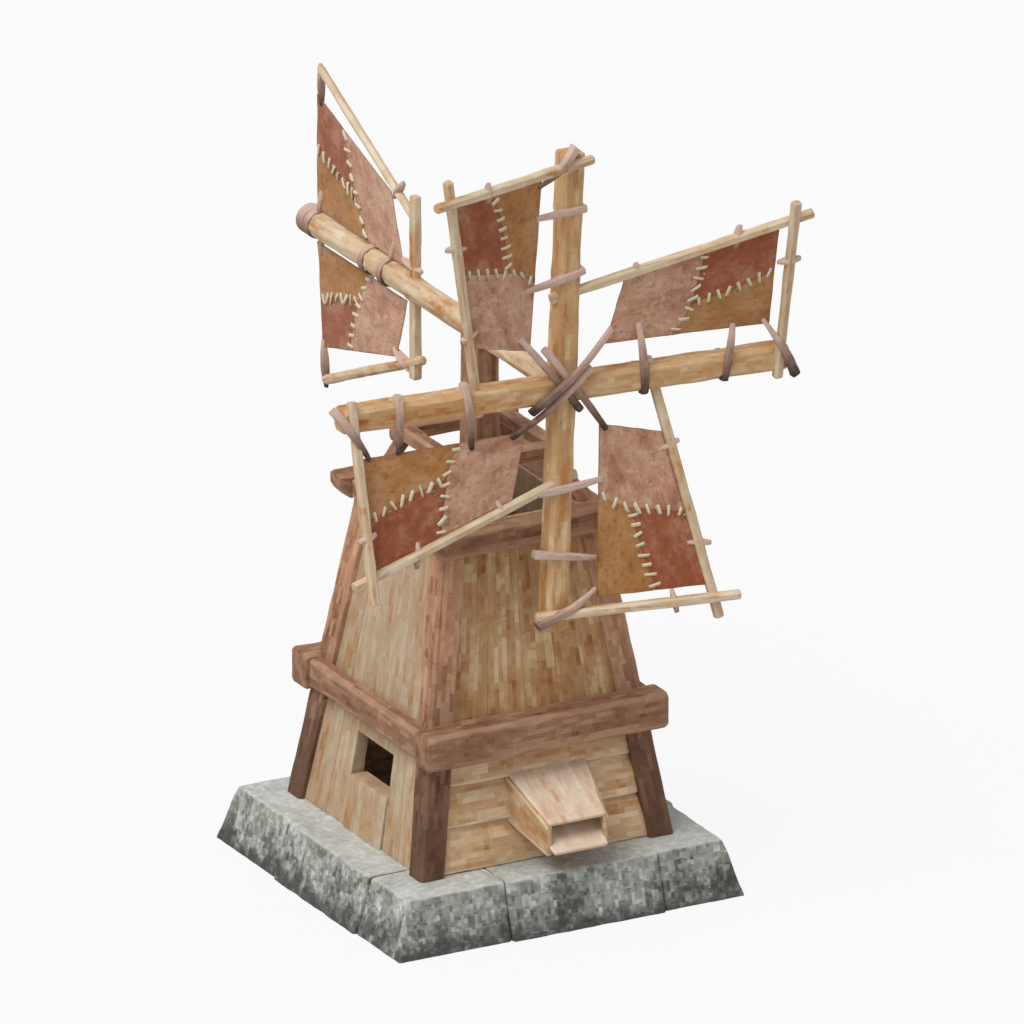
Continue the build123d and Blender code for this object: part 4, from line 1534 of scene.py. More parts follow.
    def build(self, bench: Bench) -> None:
        """Puts the six wall pieces in the scene.

        Args:
            bench: takes the finished pieces.
        """
        front, back, right = (0, -1, 0), (0, 1, 0), (1, 0, 0)
        back_level = [self.level(back, row, None, 110 + row) for row in range(3)]
        front_upper = self.upright_wall(front, self.change, (-1.01, -0.56, -0.10, 0.33, 0.70, 1.01), 160)
        back_upper = self.upright_wall(back, self.change, (-1.01, -0.60, -0.16, 0.24, 0.62, 1.01), 170)
        right_wall = self.upright_wall(right, self.shape.foot, (-1.01, -0.62, -0.22, 0.14, 0.58, 1.01), 180)
        for name, skins, finish, node in (
            ("front_boards_level", self.front(), "logs", "front_wall_lower"),
            ("front_boards_upright", front_upper, "front", "front_wall_upper"),
            ("back_boards_level", back_level, "logs", "back_wall_lower"),
            ("back_boards_upright", back_upper, "front", "back_wall_upper"),
            ("left_boards", self.left(), "boards", "left_wall"),
            ("right_boards", right_wall, "boards", "right_wall"),
        ):
            bench.put(name, skins, finish, "tower", [node])


@dataclass
class HatchSill:
    """Thick block of upright boards under the hatch.

    Attributes:
        shape: the tower's taper.
        sides: front end of the block, joint between its two boards, and back end.
        heights: of the foot and of the upper edge.
        thickness: of the block.
        proud: how far it stands out from the wall.
        hewing: how its boards are worked.
    """

    shape: TowerShape
    sides: Point = (-0.350, -0.02, 0.240)
    heights: Pair = (0.45, 0.872)
    thickness: float = 0.150
    proud: float = 0.018
    hewing: Hewing = Hewing(0.009, 0.002, (0.004, 0.010), (0.002, 0.008), 0.02, 10)

    def build(self, bench: Bench) -> None:
        """Puts the block in the scene.

        Args:
            bench: takes the finished piece.
        """
        out = self.proud - self.shape.setback - self.thickness / 2
        skins = []
        for k, (front, back) in enumerate(zip(self.sides[:-1], self.sides[1:])):
            ends = [(-(self.shape.reach(z) + out), (front + back) / 2, z) for z in self.heights]
            sizes = ((back - front,) * 2, (self.thickness,) * 2)
            skins.append(Timber(*ends, (0, 1, 0), *sizes, self.hewing, 190 + k, 0.5, (1, 0, 0)).skin())
        bench.put("sill_board", skins, "boards", "tower", ["hatch_sill_board"])


@dataclass
class FlourChute:
    """Open-fronted chute with a sloping lid, a tray and two cheeks.

    Attributes:
        shape: the tower's taper.
        centre: its middle, across the front wall.
        back_half: half the width over the cheeks at the wall.
        front_half: the same at the mouth.
        cheek: thickness of a cheek.
        board: thickness of lid and tray.
        reach: how far the lid's lip stands out from its head.
        lid: height of the lid's underside at the wall, and how far it drops.
        tray: height of the tray's upper side at the wall, and how far it drops.
        tray_lip: how far the tray's lip stands out past the lid's.
        feet: heights of the cheeks' lower edges at the wall and at the mouth.
        slab_hewing: how lid and tray are worked, with a rounded lip.
        cheek_hewing: how the cheeks are worked.
    """

    shape: TowerShape
    centre: float = 0.074
    back_half: float = 0.364
    front_half: float = 0.268
    cheek: float = 0.045
    board: float = 0.034
    reach: float = 0.505
    lid: Pair = (1.128, 0.267)
    tray: Pair = (0.930, 0.240)
    tray_lip: float = 0.068
    feet: Pair = (0.775, 0.618)
    slab_hewing: Hewing = Hewing(0.009, 0.002, (0.004, 0.014), (0.002, 0.010), 0.02, 14)
    cheek_hewing: Hewing = Hewing(0.008, 0.002, (0.004, 0.008), (0.001, 0.006), 0.02, 10)

    def slab(self, under: float, drop: float, inset: float, lip: float, seed: int) -> Skin:
        """Lid or tray: a tapering board that slopes down and outwards.

        Args:
            under: height of its underside at the wall.
            drop: how far it falls over a length of the lid's reach.
            inset: how far its sides lie inside the cheeks' outer faces.
            lip: how far it runs past the lid's lip.
            seed: picks its pattern.

        Returns:
            The board's closed surface.
        """
        head = -(self.shape.reach(self.lid[0]) - self.shape.setback)
        back = -(self.shape.reach(under) - self.shape.setback) + 0.012
        front = head - self.reach - lip
        shares = [(head - y) / self.reach for y in (back, front)]
        halves = [mix(self.back_half, self.front_half, share) - inset for share in shares]
        fall = drop / self.reach
        heights = [under + self.board / 2 + fall * (y - back) for y in (back, front)]
        ends = [(self.centre, y, z) for y, z in zip((back, front), heights)]
        sizes = ((2 * halves[0], 2 * halves[1]), (self.board,) * 2)
        return Timber(*ends, (1, 0, 0), *sizes, self.slab_hewing, seed, 0.8).skin()

    def cheek_board(self, hand: int) -> Skin:
        """One cheek, from the wall to the mouth.

        Args:
            hand: -1 for the left cheek and 1 for the right one.

        Returns:
            The cheek's closed surface.
        """
        head = -(self.shape.reach(self.lid[0]) - self.shape.setback)
        rows = (
            (self.back_half, head - 0.002, self.lid[0], self.feet[0]),
            (self.front_half, head - self.reach, self.lid[0] - self.lid[1], self.feet[1]),
        )
        inwards = self.cheek / 2
        ends = [(self.centre + hand * (half - inwards), y, (top + foot) / 2) for half, y, top, foot in rows]
        sizes = (tuple(top - foot for *_, top, foot in rows), (self.cheek,) * 2)
        return Timber(*ends, UP, *sizes, self.cheek_hewing, 205 + hand, 0.05, (1, 0, 0)).skin()

    def build(self, bench: Bench) -> None:
        """Puts the lid, the tray and the cheeks in the scene.

        Args:
            bench: takes the finished pieces.
        """
        lid = self.slab(self.lid[0], self.lid[1], 0.024, 0.0, 200)
        tray = self.slab(self.tray[0] - self.board, self.tray[1], 0.026, self.tray_lip, 202)
        bench.put("flour_lid", [lid], "peach", "tower", ["chute_lid"])
        bench.put("flour_tray", [tray], "peach", "tower", ["chute_tray"])
        for hand, side in ((-1, "left"), (1, "right")):
            cheek = self.cheek_board(hand)
            bench.put(f"flour_cheek_{side}", [cheek], "logs", "tower", [f"chute_cheek_{side}"])


@dataclass
class UpperFrame:
    """Square frame over the tower that the turning head stands in, with a strut from each post.

    Attributes:
        shape: the tower's taper.
        reach: distance from the middle to the beams' outer faces.
        beam: size of a beam.
        bottom: height of the beams' undersides.
        overhang: how far the cross beams run past the frame's corners.
        strut: size of a strut.
        beam_hewing: how the beams are worked.
        strut_hewing: how the struts are worked.
    """

    shape: TowerShape
    reach: float = 0.485
    beam: float = 0.12
    bottom: float = 3.48
    overhang: float = 0.055
    strut: float = 0.112
    beam_hewing: Hewing = Hewing(0.018, 0.0022, (0.012, 0.012), (0.010, 0.010), 0.022)
    strut_hewing: Hewing = Hewing(0.014, 0.002, (0.012, 0.012), (0.010, 0.010), 0.02)

    def beam_skin(self, run: Point, place: Point, length: float, seed: int) -> Skin:
        """One level beam.

        Args:
            run: direction of its length.
            place: its middle.
            length: of the beam.
            seed: picks its pattern.

        Returns:
            The beam's closed surface.
        """
        middle, along = np.asarray(place, float), np.asarray(run, float)
        ends = (middle - along * length / 2, middle + along * length / 2)
        return Timber(*ends, UP, (self.beam,) * 2, (self.beam,) * 2, self.beam_hewing, seed, 0.6).skin()

    def struts(self) -> list[Skin]:
        """The four struts, from the posts' heads to the frame's corners.

        Returns:
            One surface for each.
        """
        low = (self.shape.head_reach - self.shape.post / 2, self.shape.head - 0.01)
        high = (self.reach - self.strut / 2, self.bottom + 0.01)
        return over_corners(low, high, self.strut, self.strut_hewing, 210, (0.5, 0.0))

    def build(self, bench: Bench) -> None:
        """Puts the beams and struts in the scene.

        Args:
            bench: takes the finished pieces.
        """
        middle, z = self.reach - self.beam / 2, self.bottom + self.beam / 2
        inner, outer = 2 * (self.reach - self.beam) + 0.01, 2 * (self.reach + self.overhang)
        sides = [self.beam_skin((0, 1, 0), (s * middle, 0, z), inner, 220 + s) for s in (-1, 1)]
        cross = [self.beam_skin((1, 0, 0), (0, s * middle, z), outer, 224 + s) for s in (-1, 1)]
        bench.put("frame_beams_side", sides, "dark", "tower", ["upper_beams_side"])
        bench.put("frame_beams_cross", cross, "dark", "tower", ["upper_beams_cross"])
        bench.put("strut_timbers", self.struts(), "dark", "tower", ["frame_struts"])


# ---- hides and thongs
@dataclass
class Hide:
    """Four-cornered hide of three patches, stretched between poles and sewn with broad stitches.

    Attributes:
        corners: places of the root edge's near and far ends, and of the tip edge's near and far ends.
        seed: picks the pattern.
        thickness: of the hide.
        cross_seam: shares of the width, and how far along the length the seam lies there.
        tip_seam: shares of the length, and how far across the width the seam lies there.
        billow: how far the middle stands out of the plane through the corners.
        stitch: length, width and height of a stitch.
        ridges: height of the ridges beside a seam, and how far from it they die out.
        groove: the same for the groove along it.
        waves: height and length of the slow waves over the hide.
    """

    corners: Array
    seed: int
    thickness: float = 0.006
    cross_seam: Ends = ((0, 0.15, 0.33, 0.6, 1), (0.40, 0.45, 0.485, 0.50, 0.525))
    tip_seam: Ends = ((0.45, 0.55, 0.7, 0.85, 1), (0.33, 0.41, 0.44, 0.49, 0.55))
    billow: float = 0.010
    stitch: Point = (0.098, 0.029, 0.013)
    ridges: Pair = (0.004, 0.05)
    groove: Pair = (0.003, 0.012)
    waves: Pair = (0.004, 0.5)

    def place(self, u: Array, v: Array) -> Array:
        """Middle surface at shares u of the length and v of the width.

        The four corners are blended in both directions. The rim is drawn in a little between its ties,
        the middle billows with sin(pi u) sin(pi v), and slow waves cross it.

        Args:
            u: shares of the length.
            v: shares of the width.

        Returns:
            The places.
        """
        along = u + (1 - 2 * u) * 0.002 * np.sin(3 * math.pi * v) ** 2
        across = v + (1 - 2 * v) * 0.002 * np.sin(3 * math.pi * u) ** 2
        a, b = along[..., None], across[..., None]
        root = mix(self.corners[0], self.corners[1], b)
        tip = mix(self.corners[2], self.corners[3], b)
        flat = mix(root, tip, a)
        wave = np.stack([u * 3.1, v * 2.3, 0 * u + self.seed], -1)
        out = self.billow * np.sin(math.pi * u) * np.sin(math.pi * v)
        out = out + self.waves[0] * ripple(wave, self.waves[1], self.seed, 3)
        return flat + self.normal * (out + self.pucker(u, v))[..., None]

    @property
    def normal(self) -> Array:
        """How the hide faces.

        Returns:
            The direction at right angles to its middle.
        """
        length = self.corners[2:].sum(0) - self.corners[:2].sum(0)
        width = self.corners[[1, 3]].sum(0) - self.corners[[0, 2]].sum(0)
        return unit(np.cross(length, width))

    def distances(self, u: Array, v: Array) -> tuple[Array, Array, Array]:
        """How far a place lies past each seam, and from the rim, in metres.

        Args:
            u: shares of the length.
            v: shares of the width.

        Returns:
            Distance past the cross seam towards the tip, past the tip seam towards the near edge,
            and from the rim.
        """
        edges = np.linalg.norm(self.corners[[2, 3]] - self.corners[[0, 1]], axis=1)
        ends = np.linalg.norm(self.corners[[1, 3]] - self.corners[[0, 2]], axis=1)
        long, wide = mix(edges[0], edges[1], v), mix(ends[0], ends[1], u)
        cross = (u - np.interp(v, *self.cross_seam)) * long
        tip = (np.interp(u, *self.tip_seam) - v) * wide
        rim = np.minimum(np.minimum(u, 1 - u) * long, np.minimum(v, 1 - v) * wide)
        return cross, tip, rim

    def pucker(self, u: Array, v: Array) -> Array:
        """Small ridges on both sides of a seam, a few millimetres high, and a groove along it.

        Both die out away from the seam as exp(-(d / reach)^2).

        Args:
            u: shares of the length.
            v: shares of the width.

        Returns:
            How far each place stands out.
        """
        cross, tip, _ = self.distances(u, v)
        past = np.clip(cross / 0.02, 0, 1)
        (rise, wide), (depth, narrow) = self.ridges, self.groove
        ridge = rise * np.cos(v * 52) * np.exp(-((cross / wide) ** 2))
        ridge += rise * np.cos(u * 74) * np.exp(-((tip / wide) ** 2)) * past
        groove = -depth * np.exp(-((cross / narrow) ** 2)) - depth * np.exp(-((tip / narrow) ** 2)) * past
        return ridge + groove

    def skin(self, rows: int = 110, columns: int = 56) -> Skin:
        """The hide as a closed shell.

        Each ring of the shell goes across the front and back again behind, half the thickness off
        the middle surface, and the rings follow each other along the length.

        Args:
            rows: rings along the length.
            columns: points across the width.

        Returns:
            The closed surface.
        """
        u, v = np.meshgrid(np.linspace(0, 1, rows), np.linspace(0, 1, columns), indexing="ij")
        middle = self.place(u, v)
        normals = unit(np.cross(np.gradient(middle, axis=0), np.gradient(middle, axis=1)))
        half = normals * self.thickness / 2
        rim = middle[:, -1:] + unit(middle[:, -1:] - middle[:, -2:-1]) * self.thickness / 2
        near = middle[:, :1] + unit(middle[:, :1] - middle[:, 1:2]) * self.thickness / 2
        rings = np.concatenate([near, middle - half, rim, (middle + half)[:, ::-1]], 1)
        marks = np.stack(self.distances(u, v), -1)
        marks = np.concatenate([marks[:, :1], marks, marks[:, -1:], marks[:, ::-1]], 1)
        flat = np.stack([v * 0.8, 0 * u + 0.3 * self.seed, u * 1.3], -1)
        flat = np.concatenate([flat[:, :1], flat, flat[:, -1:], flat[:, ::-1]], 1)
        return skin_of_rings(rings, flat, marks)

    def seam_spots(self) -> tuple[Array, Array, Array]:
        """Where the stitches sit.

        Returns:
            Shares of length and width, and the angle that each crosses its seam at.
        """
        v = np.linspace(0.07, 0.95, 8) + 0.012 * (lattice(self.cells(8, 1), 2) - 0.5)
        start = float(np.interp(0.36, *self.cross_seam))
        u = np.linspace(start + 0.045, 0.965, 8) + 0.008 * (lattice(self.cells(8, 2), 2) - 0.5)
        across = np.stack([np.interp(v, *self.cross_seam), v], -1)
        down = np.stack([u, np.interp(u, *self.tip_seam)], -1)
        tilt = math.radians(36) * (2 * lattice(self.cells(16, 3), 2) - 1)
        base = np.concatenate([np.zeros(8), np.full(8, math.pi / 2)])
        spots = np.concatenate([across, down])
        return spots[:, 0], spots[:, 1], base + tilt

    def cells(self, count: int, row: int) -> Array:
        """Whole-numbered cells that belong to this hide, for its random numbers."""
        return np.stack([np.arange(count), np.full(count, row), np.full(count, self.seed)], -1)

    def stitches(self) -> Skin:
        """The stitches over both seams, on both sides of the hide.

        Each is a straight flat bar of slightly different size. Its middle line keeps its height h and
        drops at the ends as h(1 - 1.3 s^6), and its section is an ellipse of the fourth power. It is
        marked for painted light from 0 on its lower long side to 1 on its upper one, and for a painted
        shadow at its ends.

        Returns:
            All of the bars.
        """
        u, v, turn = self.seam_spots()
        small = 1e-3
        centre = self.place(u, v)
        along = unit(self.place(u + small, v) - self.place(u - small, v))
        across = unit(self.place(u, v + small) - self.place(u, v - small))
        normal = unit(np.cross(along, across))
        length, width, height = self.stitch
        long = length * (0.80 + 0.35 * lattice(self.cells(len(u), 5), 7))[:, None, None]
        wide = width * (0.85 + 0.3 * lattice(self.cells(len(u), 6), 7))
        angle = np.linspace(0, 2 * math.pi, 12, endpoint=False) + math.pi / 12
        circle = np.stack([np.cos(angle), np.sin(angle)], -1)
        square = np.sign(circle) * np.sqrt(np.abs(circle))
        s = np.array([-1, -0.97, -0.9, -0.7, -0.35, 0, 0.35, 0.7, 0.9, 0.97, 1])
        shrink = np.interp(np.abs(s), (0, 0.9, 1), (1.0, 1.0, 0.78))[None, :, None, None]
        bars = []
        for side in (1, -1):
            lift = normal * side
            way = along * np.cos(turn)[:, None] + across * np.sin(turn)[:, None] * side
            sideways = np.cross(lift, way)
            rows = centre[:, None] + way[:, None] * s[None, :, None] * long / 2
            rows = rows + lift[:, None] * (height * (1 - 1.3 * s**6) * 0.5 + 0.002)[None, :, None]
            offset = sideways[:, None, None] * square[None, None, :, :1] * wide[:, None, None, None] / 2
            offset = offset + lift[:, None, None] * square[None, None, :, 1:] * height / 2
            rings = rows[:, :, None] + offset * shrink
            # painted light: the upper long side and the higher end of each stitch are marked lighter, the
            # lower ones darker
            higher = 0.5 + 0.5 * np.sign(sideways[:, 2:]) * square[:, 0]
            slope = np.clip(0.5 + 0.5 * way[:, 2:] * s, 0, 1)
            light = np.clip(0.65 * higher[:, None] + 0.35 * slope[..., None] + 0.12, 0, 1)
            for k, ring in enumerate(rings):
                # the ends are marked for a painted shadow where the stitch goes into the hide
                marks = marked(ring.shape[:2], 0.0, (np.abs(s) ** 8)[:, None], light[k])
                bars.append(skin_of_rings(ring, pattern(square * width, s * length) + 0.7 * k, marks))
        return Skin.join(bars)

    def cut_size(self) -> Point:
        """Width, length and area of the hide laid flat.

        Returns:
            The longer of its two ends, the longer of its two edges, and the sum of its two triangles.
        """
        a, b, c, d = self.corners
        width = max(np.linalg.norm(b - a), np.linalg.norm(d - c))
        length = max(np.linalg.norm(c - a), np.linalg.norm(d - b))
        area = (np.linalg.norm(np.cross(b - a, c - a)) + np.linalg.norm(np.cross(b - d, c - d))) / 2
        return float(width), float(length), float(area)

    def build(self, bench: Bench, name: str, node: str, body: str, holders: Sequence[str]) -> None:
        """Puts the hide and its stitches in the scene.

        Args:
            bench: takes the finished pieces.
            name: of the hide.
            node: the plain solid that it takes the place of.
            body: that it moves with.
            holders: names of the pieces that it is stretched between; not used.
        """
        hide = bench.put(name, [self.skin()], "hide", body, [node], SOFT)
        stitches = bench.put(f"{name}_stitches", [self.stitches()], "sinew", body, (), SOFT)
        width, length, area = self.cut_size()


@dataclass
class Arm:
    """One of the rotor's four arms, with its own directions.

    Attributes:
        name: of the arm.
        turn: quarter turns from the right-hand arm, anticlockwise seen from the front.
        hub: middle of the rotor on the face that the sails are measured from.
        lean: how far the rotor stands turned clockwise at rest, in radians.
    """

    name: str
    turn: int
    hub: Point
    lean: float

    @property
    def out(self) -> Array:
        """Direction along the arm."""
        angle = self.turn * math.pi / 2 - self.lean
        return np.array([math.cos(angle), 0.0, math.sin(angle)])

    @property
    def side(self) -> Array:
        """Direction from the arm towards its sail."""
        angle = self.turn * math.pi / 2 - self.lean
        return np.array([-math.sin(angle), 0.0, math.cos(angle)])

    @property
    def front(self) -> Array:
        """Direction that the rotor faces."""
        return np.array([0.0, -1.0, 0.0])

    def at(self, point: Point) -> Array:
        """A place given as distance along the arm, beside it and in front of it, in metres."""
        along, beside, ahead = point
        return np.asarray(self.hub, float) + self.out * along + self.side * beside + self.front * ahead


def between(start: Point, end: Point, value: float, axis: int) -> Array:
    """The place on the line through start and end whose coordinate on that axis has the value."""
    a, b = np.asarray(start, float), np.asarray(end, float)
    return mix(a, b, (value - a[axis]) / (b[axis] - a[axis]))


@dataclass
class Rotor:
    """Two crossing stocks, four sails on poles, and the thongs that bind them.

    Attributes:
        hub_height: height of the rotor's axis.
        face: depth of the level stock's front face.
        lean: how far it stands turned clockwise at rest, in radians.
        reach: length of the stock towards each arm's tip.
        level: depth of the level stock's middle, and its size.
        upright: the same for the upright stock.
        pole: size of a sail pole.
        tip_pole: its ends on an arm, as distances along, beside and in front.
        tip_shift: how far each arm's tip pole and the hide's tip lie further along it.
        near_end: how far the near end of each arm's tip pole lies further beside the arm.
        edge_pole: the same as tip_pole for the pole along the sails' outer edges.
        hide: the sail's corners: root near, root far, tip near and tip far.
        axle: radius, front end and back end of the axle.
        ties: for each arm, distance along and beside it of both ends of two ties and of the tip tie.
        tie_size: width at both ends of the first two ties, and how far they stand out from the stock.
        tip_tie_size: the same for the tip tie.
        close: a tie that stands out less than this also runs round behind the stock.
        hub_ties: the same as ties for those over the hub, on the right-hand arm, from the lowest up.
        hub_layers: how far the lowest of them stands out from the stock, and what each next one adds.
        edge_ties: inner and outer end of the two ties on the edge pole, placed as the poles are.
        end_tie: the same for the tie on the tip pole.
        stock_hewing: how the stocks are worked.
        pole_hewing: how the poles are worked.
    """

    hub_height: float = 4.436
    face: float = -1.452
    lean: float = math.radians(2.25)
    reach: Point = (1.932, 1.915, 1.950, 1.992)
    level: Pair = (-1.360, 0.196)
    upright: Pair = (-1.330, 0.186)
    pole: float = 0.072
    tip_pole: Ends = ((1.841, -0.163, -0.022), (1.759, 1.399, 0.321))
    tip_shift: Point = (0.0, 0.020, 0.050, 0.0)
    near_end: Point = (0.010, 0.020, 0.0, -0.045)
    edge_pole: Ends = ((-0.140, 0.728, -0.105), (1.954, 1.262, 0.243))
    hide: Points = (
        (0.338, 0.316, -0.070), (0.454, 0.834, -0.016), (1.738, 0.311, 0.001), (1.690, 1.164, 0.193)
    )
    axle: Point = (0.030, -1.244, -1.052)
    ties: Sequence[Points] = (
        ((0.609, 0.467, 0.667, -0.122), (1.424, 0.353, 1.362, -0.112), (1.672, 0.360, 1.973, -0.135)),
        ((0.840, 0.430, 0.955, -0.118), (1.444, 0.340, 1.460, -0.112), (1.700, 0.340, 1.990, 0.020)),
        ((0.815, 0.392, 0.917, -0.180), (1.469, 0.321, 1.486, -0.162), (1.727, 0.328, 2.070, -0.130)),
        ((0.783, 0.350, 0.833, -0.215), (1.415, 0.300, 1.332, -0.230), (1.660, 0.300, 1.910, -0.205)),
    )
    tie_size: tuple[Pair, float] = ((0.046, 0.062), 0.014)
    tip_tie_size: tuple[Pair, float] = ((0.034, 0.070), 0.060)
    close: float = 0.03
    hub_layers: Pair = (0.016, 0.014)
    hub_ties: Points = (
        (-0.422, 0.468, 0.118, -0.180),
        (0.370, -0.385, -0.228, 0.367),
        (-0.463, -0.346, 0.181, 0.175),
        (0.385, 0.443, -0.341, -0.136),
    )
    edge_ties: Sequence[Ends] = (
        ((0.607, 0.805, -0.012), (0.530, 0.975, 0.022)),
        ((1.345, 1.010, 0.115), (1.362, 1.215, 0.158)),
    )
    end_tie: Ends = ((1.690, 0.870, 0.175), (1.872, 0.900, 0.225))
    stock_hewing: Hewing = Hewing(0.028, 0.0016, (0.018, 0.018), (0.014, 0.014), 0.026, bow=0.002)
    pole_hewing: Hewing = Hewing(0.016, 0.0012, (0.010, 0.010), (0.009, 0.009), 0.022, 3, bow=0.003)

    def arms(self) -> list[Arm]:
        """The four arms."""
        hub = (0.0, self.face, self.hub_height)
        return [Arm(name, k, hub, self.lean) for k, name in enumerate(("right", "top", "left", "bottom"))]

    def moved(self, points: Points, arm: Arm) -> Points:
        """Points at an arm's tip, moved along it by that arm's shift."""
        return tuple((x + self.tip_shift[arm.turn], y, z) for x, y, z in points)

    def tip_ends(self, arm: Arm) -> Points:
        """Both ends of an arm's tip pole, the near one first."""
        (x, y, z), far = self.moved(self.tip_pole, arm)
        return (x, y + self.near_end[arm.turn], z), far

    def stock(self, depth: float, size: float, arm: Arm, seed: int) -> Skin:
        """One stock: squared timber with its edges and ends taken off.

        Args:
            depth: of its middle.
            size: of its section.
            arm: that it runs to, with its other end at the opposite arm.
            seed: picks its pattern.

        Returns:
            The stock's closed surface.
        """
        middle = np.array([0.0, depth, self.hub_height])
        ends = (middle - arm.out * self.reach[arm.turn + 2], middle + arm.out * self.reach[arm.turn])
        return Timber(*ends, (0, 1, 0), (size,) * 2, (size,) * 2, self.stock_hewing, seed, 0.55).skin()

    def pole_on(self, arm: Arm, ends: Ends, seed: int) -> Skin:
        """One squared pole with its corners taken off.

        Args:
            arm: that it lies on.
            ends: its two ends on the arm.
            seed: picks its pattern.

        Returns:
            The pole's closed surface.
        """
        tint = 0.3 + 0.4 * chance((seed, 3, 2), 6)
        square = (self.pole, self.pole)
        places = (arm.at(end) for end in ends)
        return Timber(*places, arm.front, square, square, self.pole_hewing, seed, tint).skin()

    def tie(self, arm: Arm, place: Point, width: Pair, over: float, seed: int) -> list[Skin]:
        """Thong from the sail's near edge straight over the stock, and round behind it if it lies close.

        Args:
            arm: that the sail is on.
            place: distance along and beside the arm, of its end on the hide and of its far end.
            width: at those ends.
            over: how far it stands out from the stock's face.
            seed: picks its pattern.

        Returns:
            The thong in front, then the part behind, if it has one.
        """
        depth, size = self.level if arm.turn % 2 == 0 else self.upright
        face = self.face - depth + size / 2
        edge = between(self.hide[0], self.hide[2], place[0], 0)
        rise = 0.55 * (over + 0.012 + face - edge[2]) + 0.8 * (over - 0.014)
        start = arm.at((place[0], place[1], edge[2] + 0.006))
        end = arm.at((place[2], place[3], face - 0.040 + over))
        bar = Lashing(start, end, arm.out, width, (0.026, 0.080), (0.008, 0.0), rise, seed)
        if over > self.close:
            return [bar.skin()]
        angle = np.radians(np.linspace(160, 318, 40))
        way = np.stack([np.cos(angle), np.sin(angle)], -1)
        half = size / 2 - 0.010
        path = way * (half / (np.abs(way) ** 8).sum(-1, keepdims=True) ** (1 / 8))
        facing = np.sign(way) * np.abs(path / half) ** 7
        along = np.interp(path[:, 0], (place[3], place[1]), (place[2], place[0]))
        line = np.array([arm.at((a, t, h + face - size / 2)) for a, (t, h) in zip(along, path)])
        outward = unit(facing[:, :1] * arm.side + facing[:, 1:] * arm.front)
        behind = Strap(line, outward, np.full(40, width[1] * 0.85), np.full(40, 0.012), False, seed + 1)
        return [bar.skin(), behind.skin()]

    def bound(self, arm: Arm, ends: Ends, pole: Ends, seed: int) -> Skin:
        """Thong bound round a sail pole, thickest where it goes round.

        Args:
            arm: that the sail is on.
            ends: its end on the hide and its outer end.
            pole: the pole's ends.
            seed: picks its pattern.

        Returns:
            The thong's closed surface.
        """
        along = arm.at(pole[1]) - arm.at(pole[0])
        sizes = (0.034, 0.040), (0.022, 0.024), (0.004, 0.056)
        return Lashing(*(arm.at(end) for end in ends), along, *sizes, 0.004, seed).skin()

    def hub_tie(self, arm: Arm, place: Point, layer: float, seed: int) -> Skin:
        """Thong from a sail's inner corner over the crossing of the stocks.

        Args:
            arm: the right-hand arm.
            place: distance along and beside it, of both ends.
            layer: how far it stands out from the stock's face.
            seed: picks its pattern.

        Returns:
            The thong's closed surface.
        """
        start = arm.at((place[0], place[1], -0.050))
        end = arm.at((place[2], place[3], layer - 0.034))
        across = np.cross(arm.front, end - start)
        sizes = (0.048, 0.058), (0.034, 0.062), (0.004, 0.0)
        return Lashing(start, end, across, *sizes, layer + 0.018, seed).skin()

    def build(self, bench: Bench) -> None:
        """Puts the stocks, poles, sails and thongs in the scene.

        Args:
            bench: takes the finished pieces.
        """
        arms = self.arms()
        level = self.stock(*self.level, arms[0], 300)
        upright = self.stock(*self.upright, arms[1], 301)
        bench.put("stock_level", [level], "stock", "rotor", ["level_stock"])
        bench.put("stock_upright", [upright], "stock", "rotor", ["upright_stock"])
        edge_poles = [self.pole_on(arm, self.edge_pole, 310 + arm.turn) for arm in arms]
        tip_poles = [self.pole_on(arm, self.tip_ends(arm), 320 + arm.turn) for arm in arms]
        bench.put("poles_edge", edge_poles, "pale", "rotor", ["sail_edge_poles"])
        bench.put("poles_tip", tip_poles, "pale", "rotor", ["sail_tip_poles"])
        radius, front, back = self.axle
        ends = [(0, y, self.hub_height) for y in (back, front)]
        pin = RoundPole(*ends, (radius, radius), (0.006, 0.006), 0.001, 0.001)
        bench.put("axle_pin", [pin.skin()], "dark", "rotor", ["rotor_axle"])
        ties = []
        for arm in arms:
            seed = 400 + 20 * arm.turn
            corners = self.hide[:2] + self.moved(self.hide[2:], arm)
            hide = Hide(np.array([arm.at(point) for point in corners]), 5 + arm.turn)
            holders = ["poles_edge", "poles_tip", "sail_thongs"]
            hide.build(bench, f"sail_{arm.name}", f"sail_hide_{arm.name}", "rotor", holders)
            sizes = (self.tie_size, self.tie_size, self.tip_tie_size)
            for k, (place, size) in enumerate(zip(self.ties[arm.turn], sizes)):
                ties += self.tie(arm, place, *size, seed + 2 * k)
            for k, ends in enumerate(self.edge_ties):
                ties.append(self.bound(arm, ends, self.edge_pole, seed + 6 + k))
            ties.append(self.bound(arm, self.moved(self.end_tie, arm), self.tip_pole, seed + 8))
        lowest, layer = self.hub_layers
        places = enumerate(self.hub_ties)
        straps = [self.hub_tie(arms[0], place, lowest + layer * k, 490 + k) for k, place in places]
        bench.put("sail_ties", ties, "thong", "rotor", ["sail_thongs"])
        bench.put("hub_ties", straps, "thong", "rotor", ["hub_thongs"])


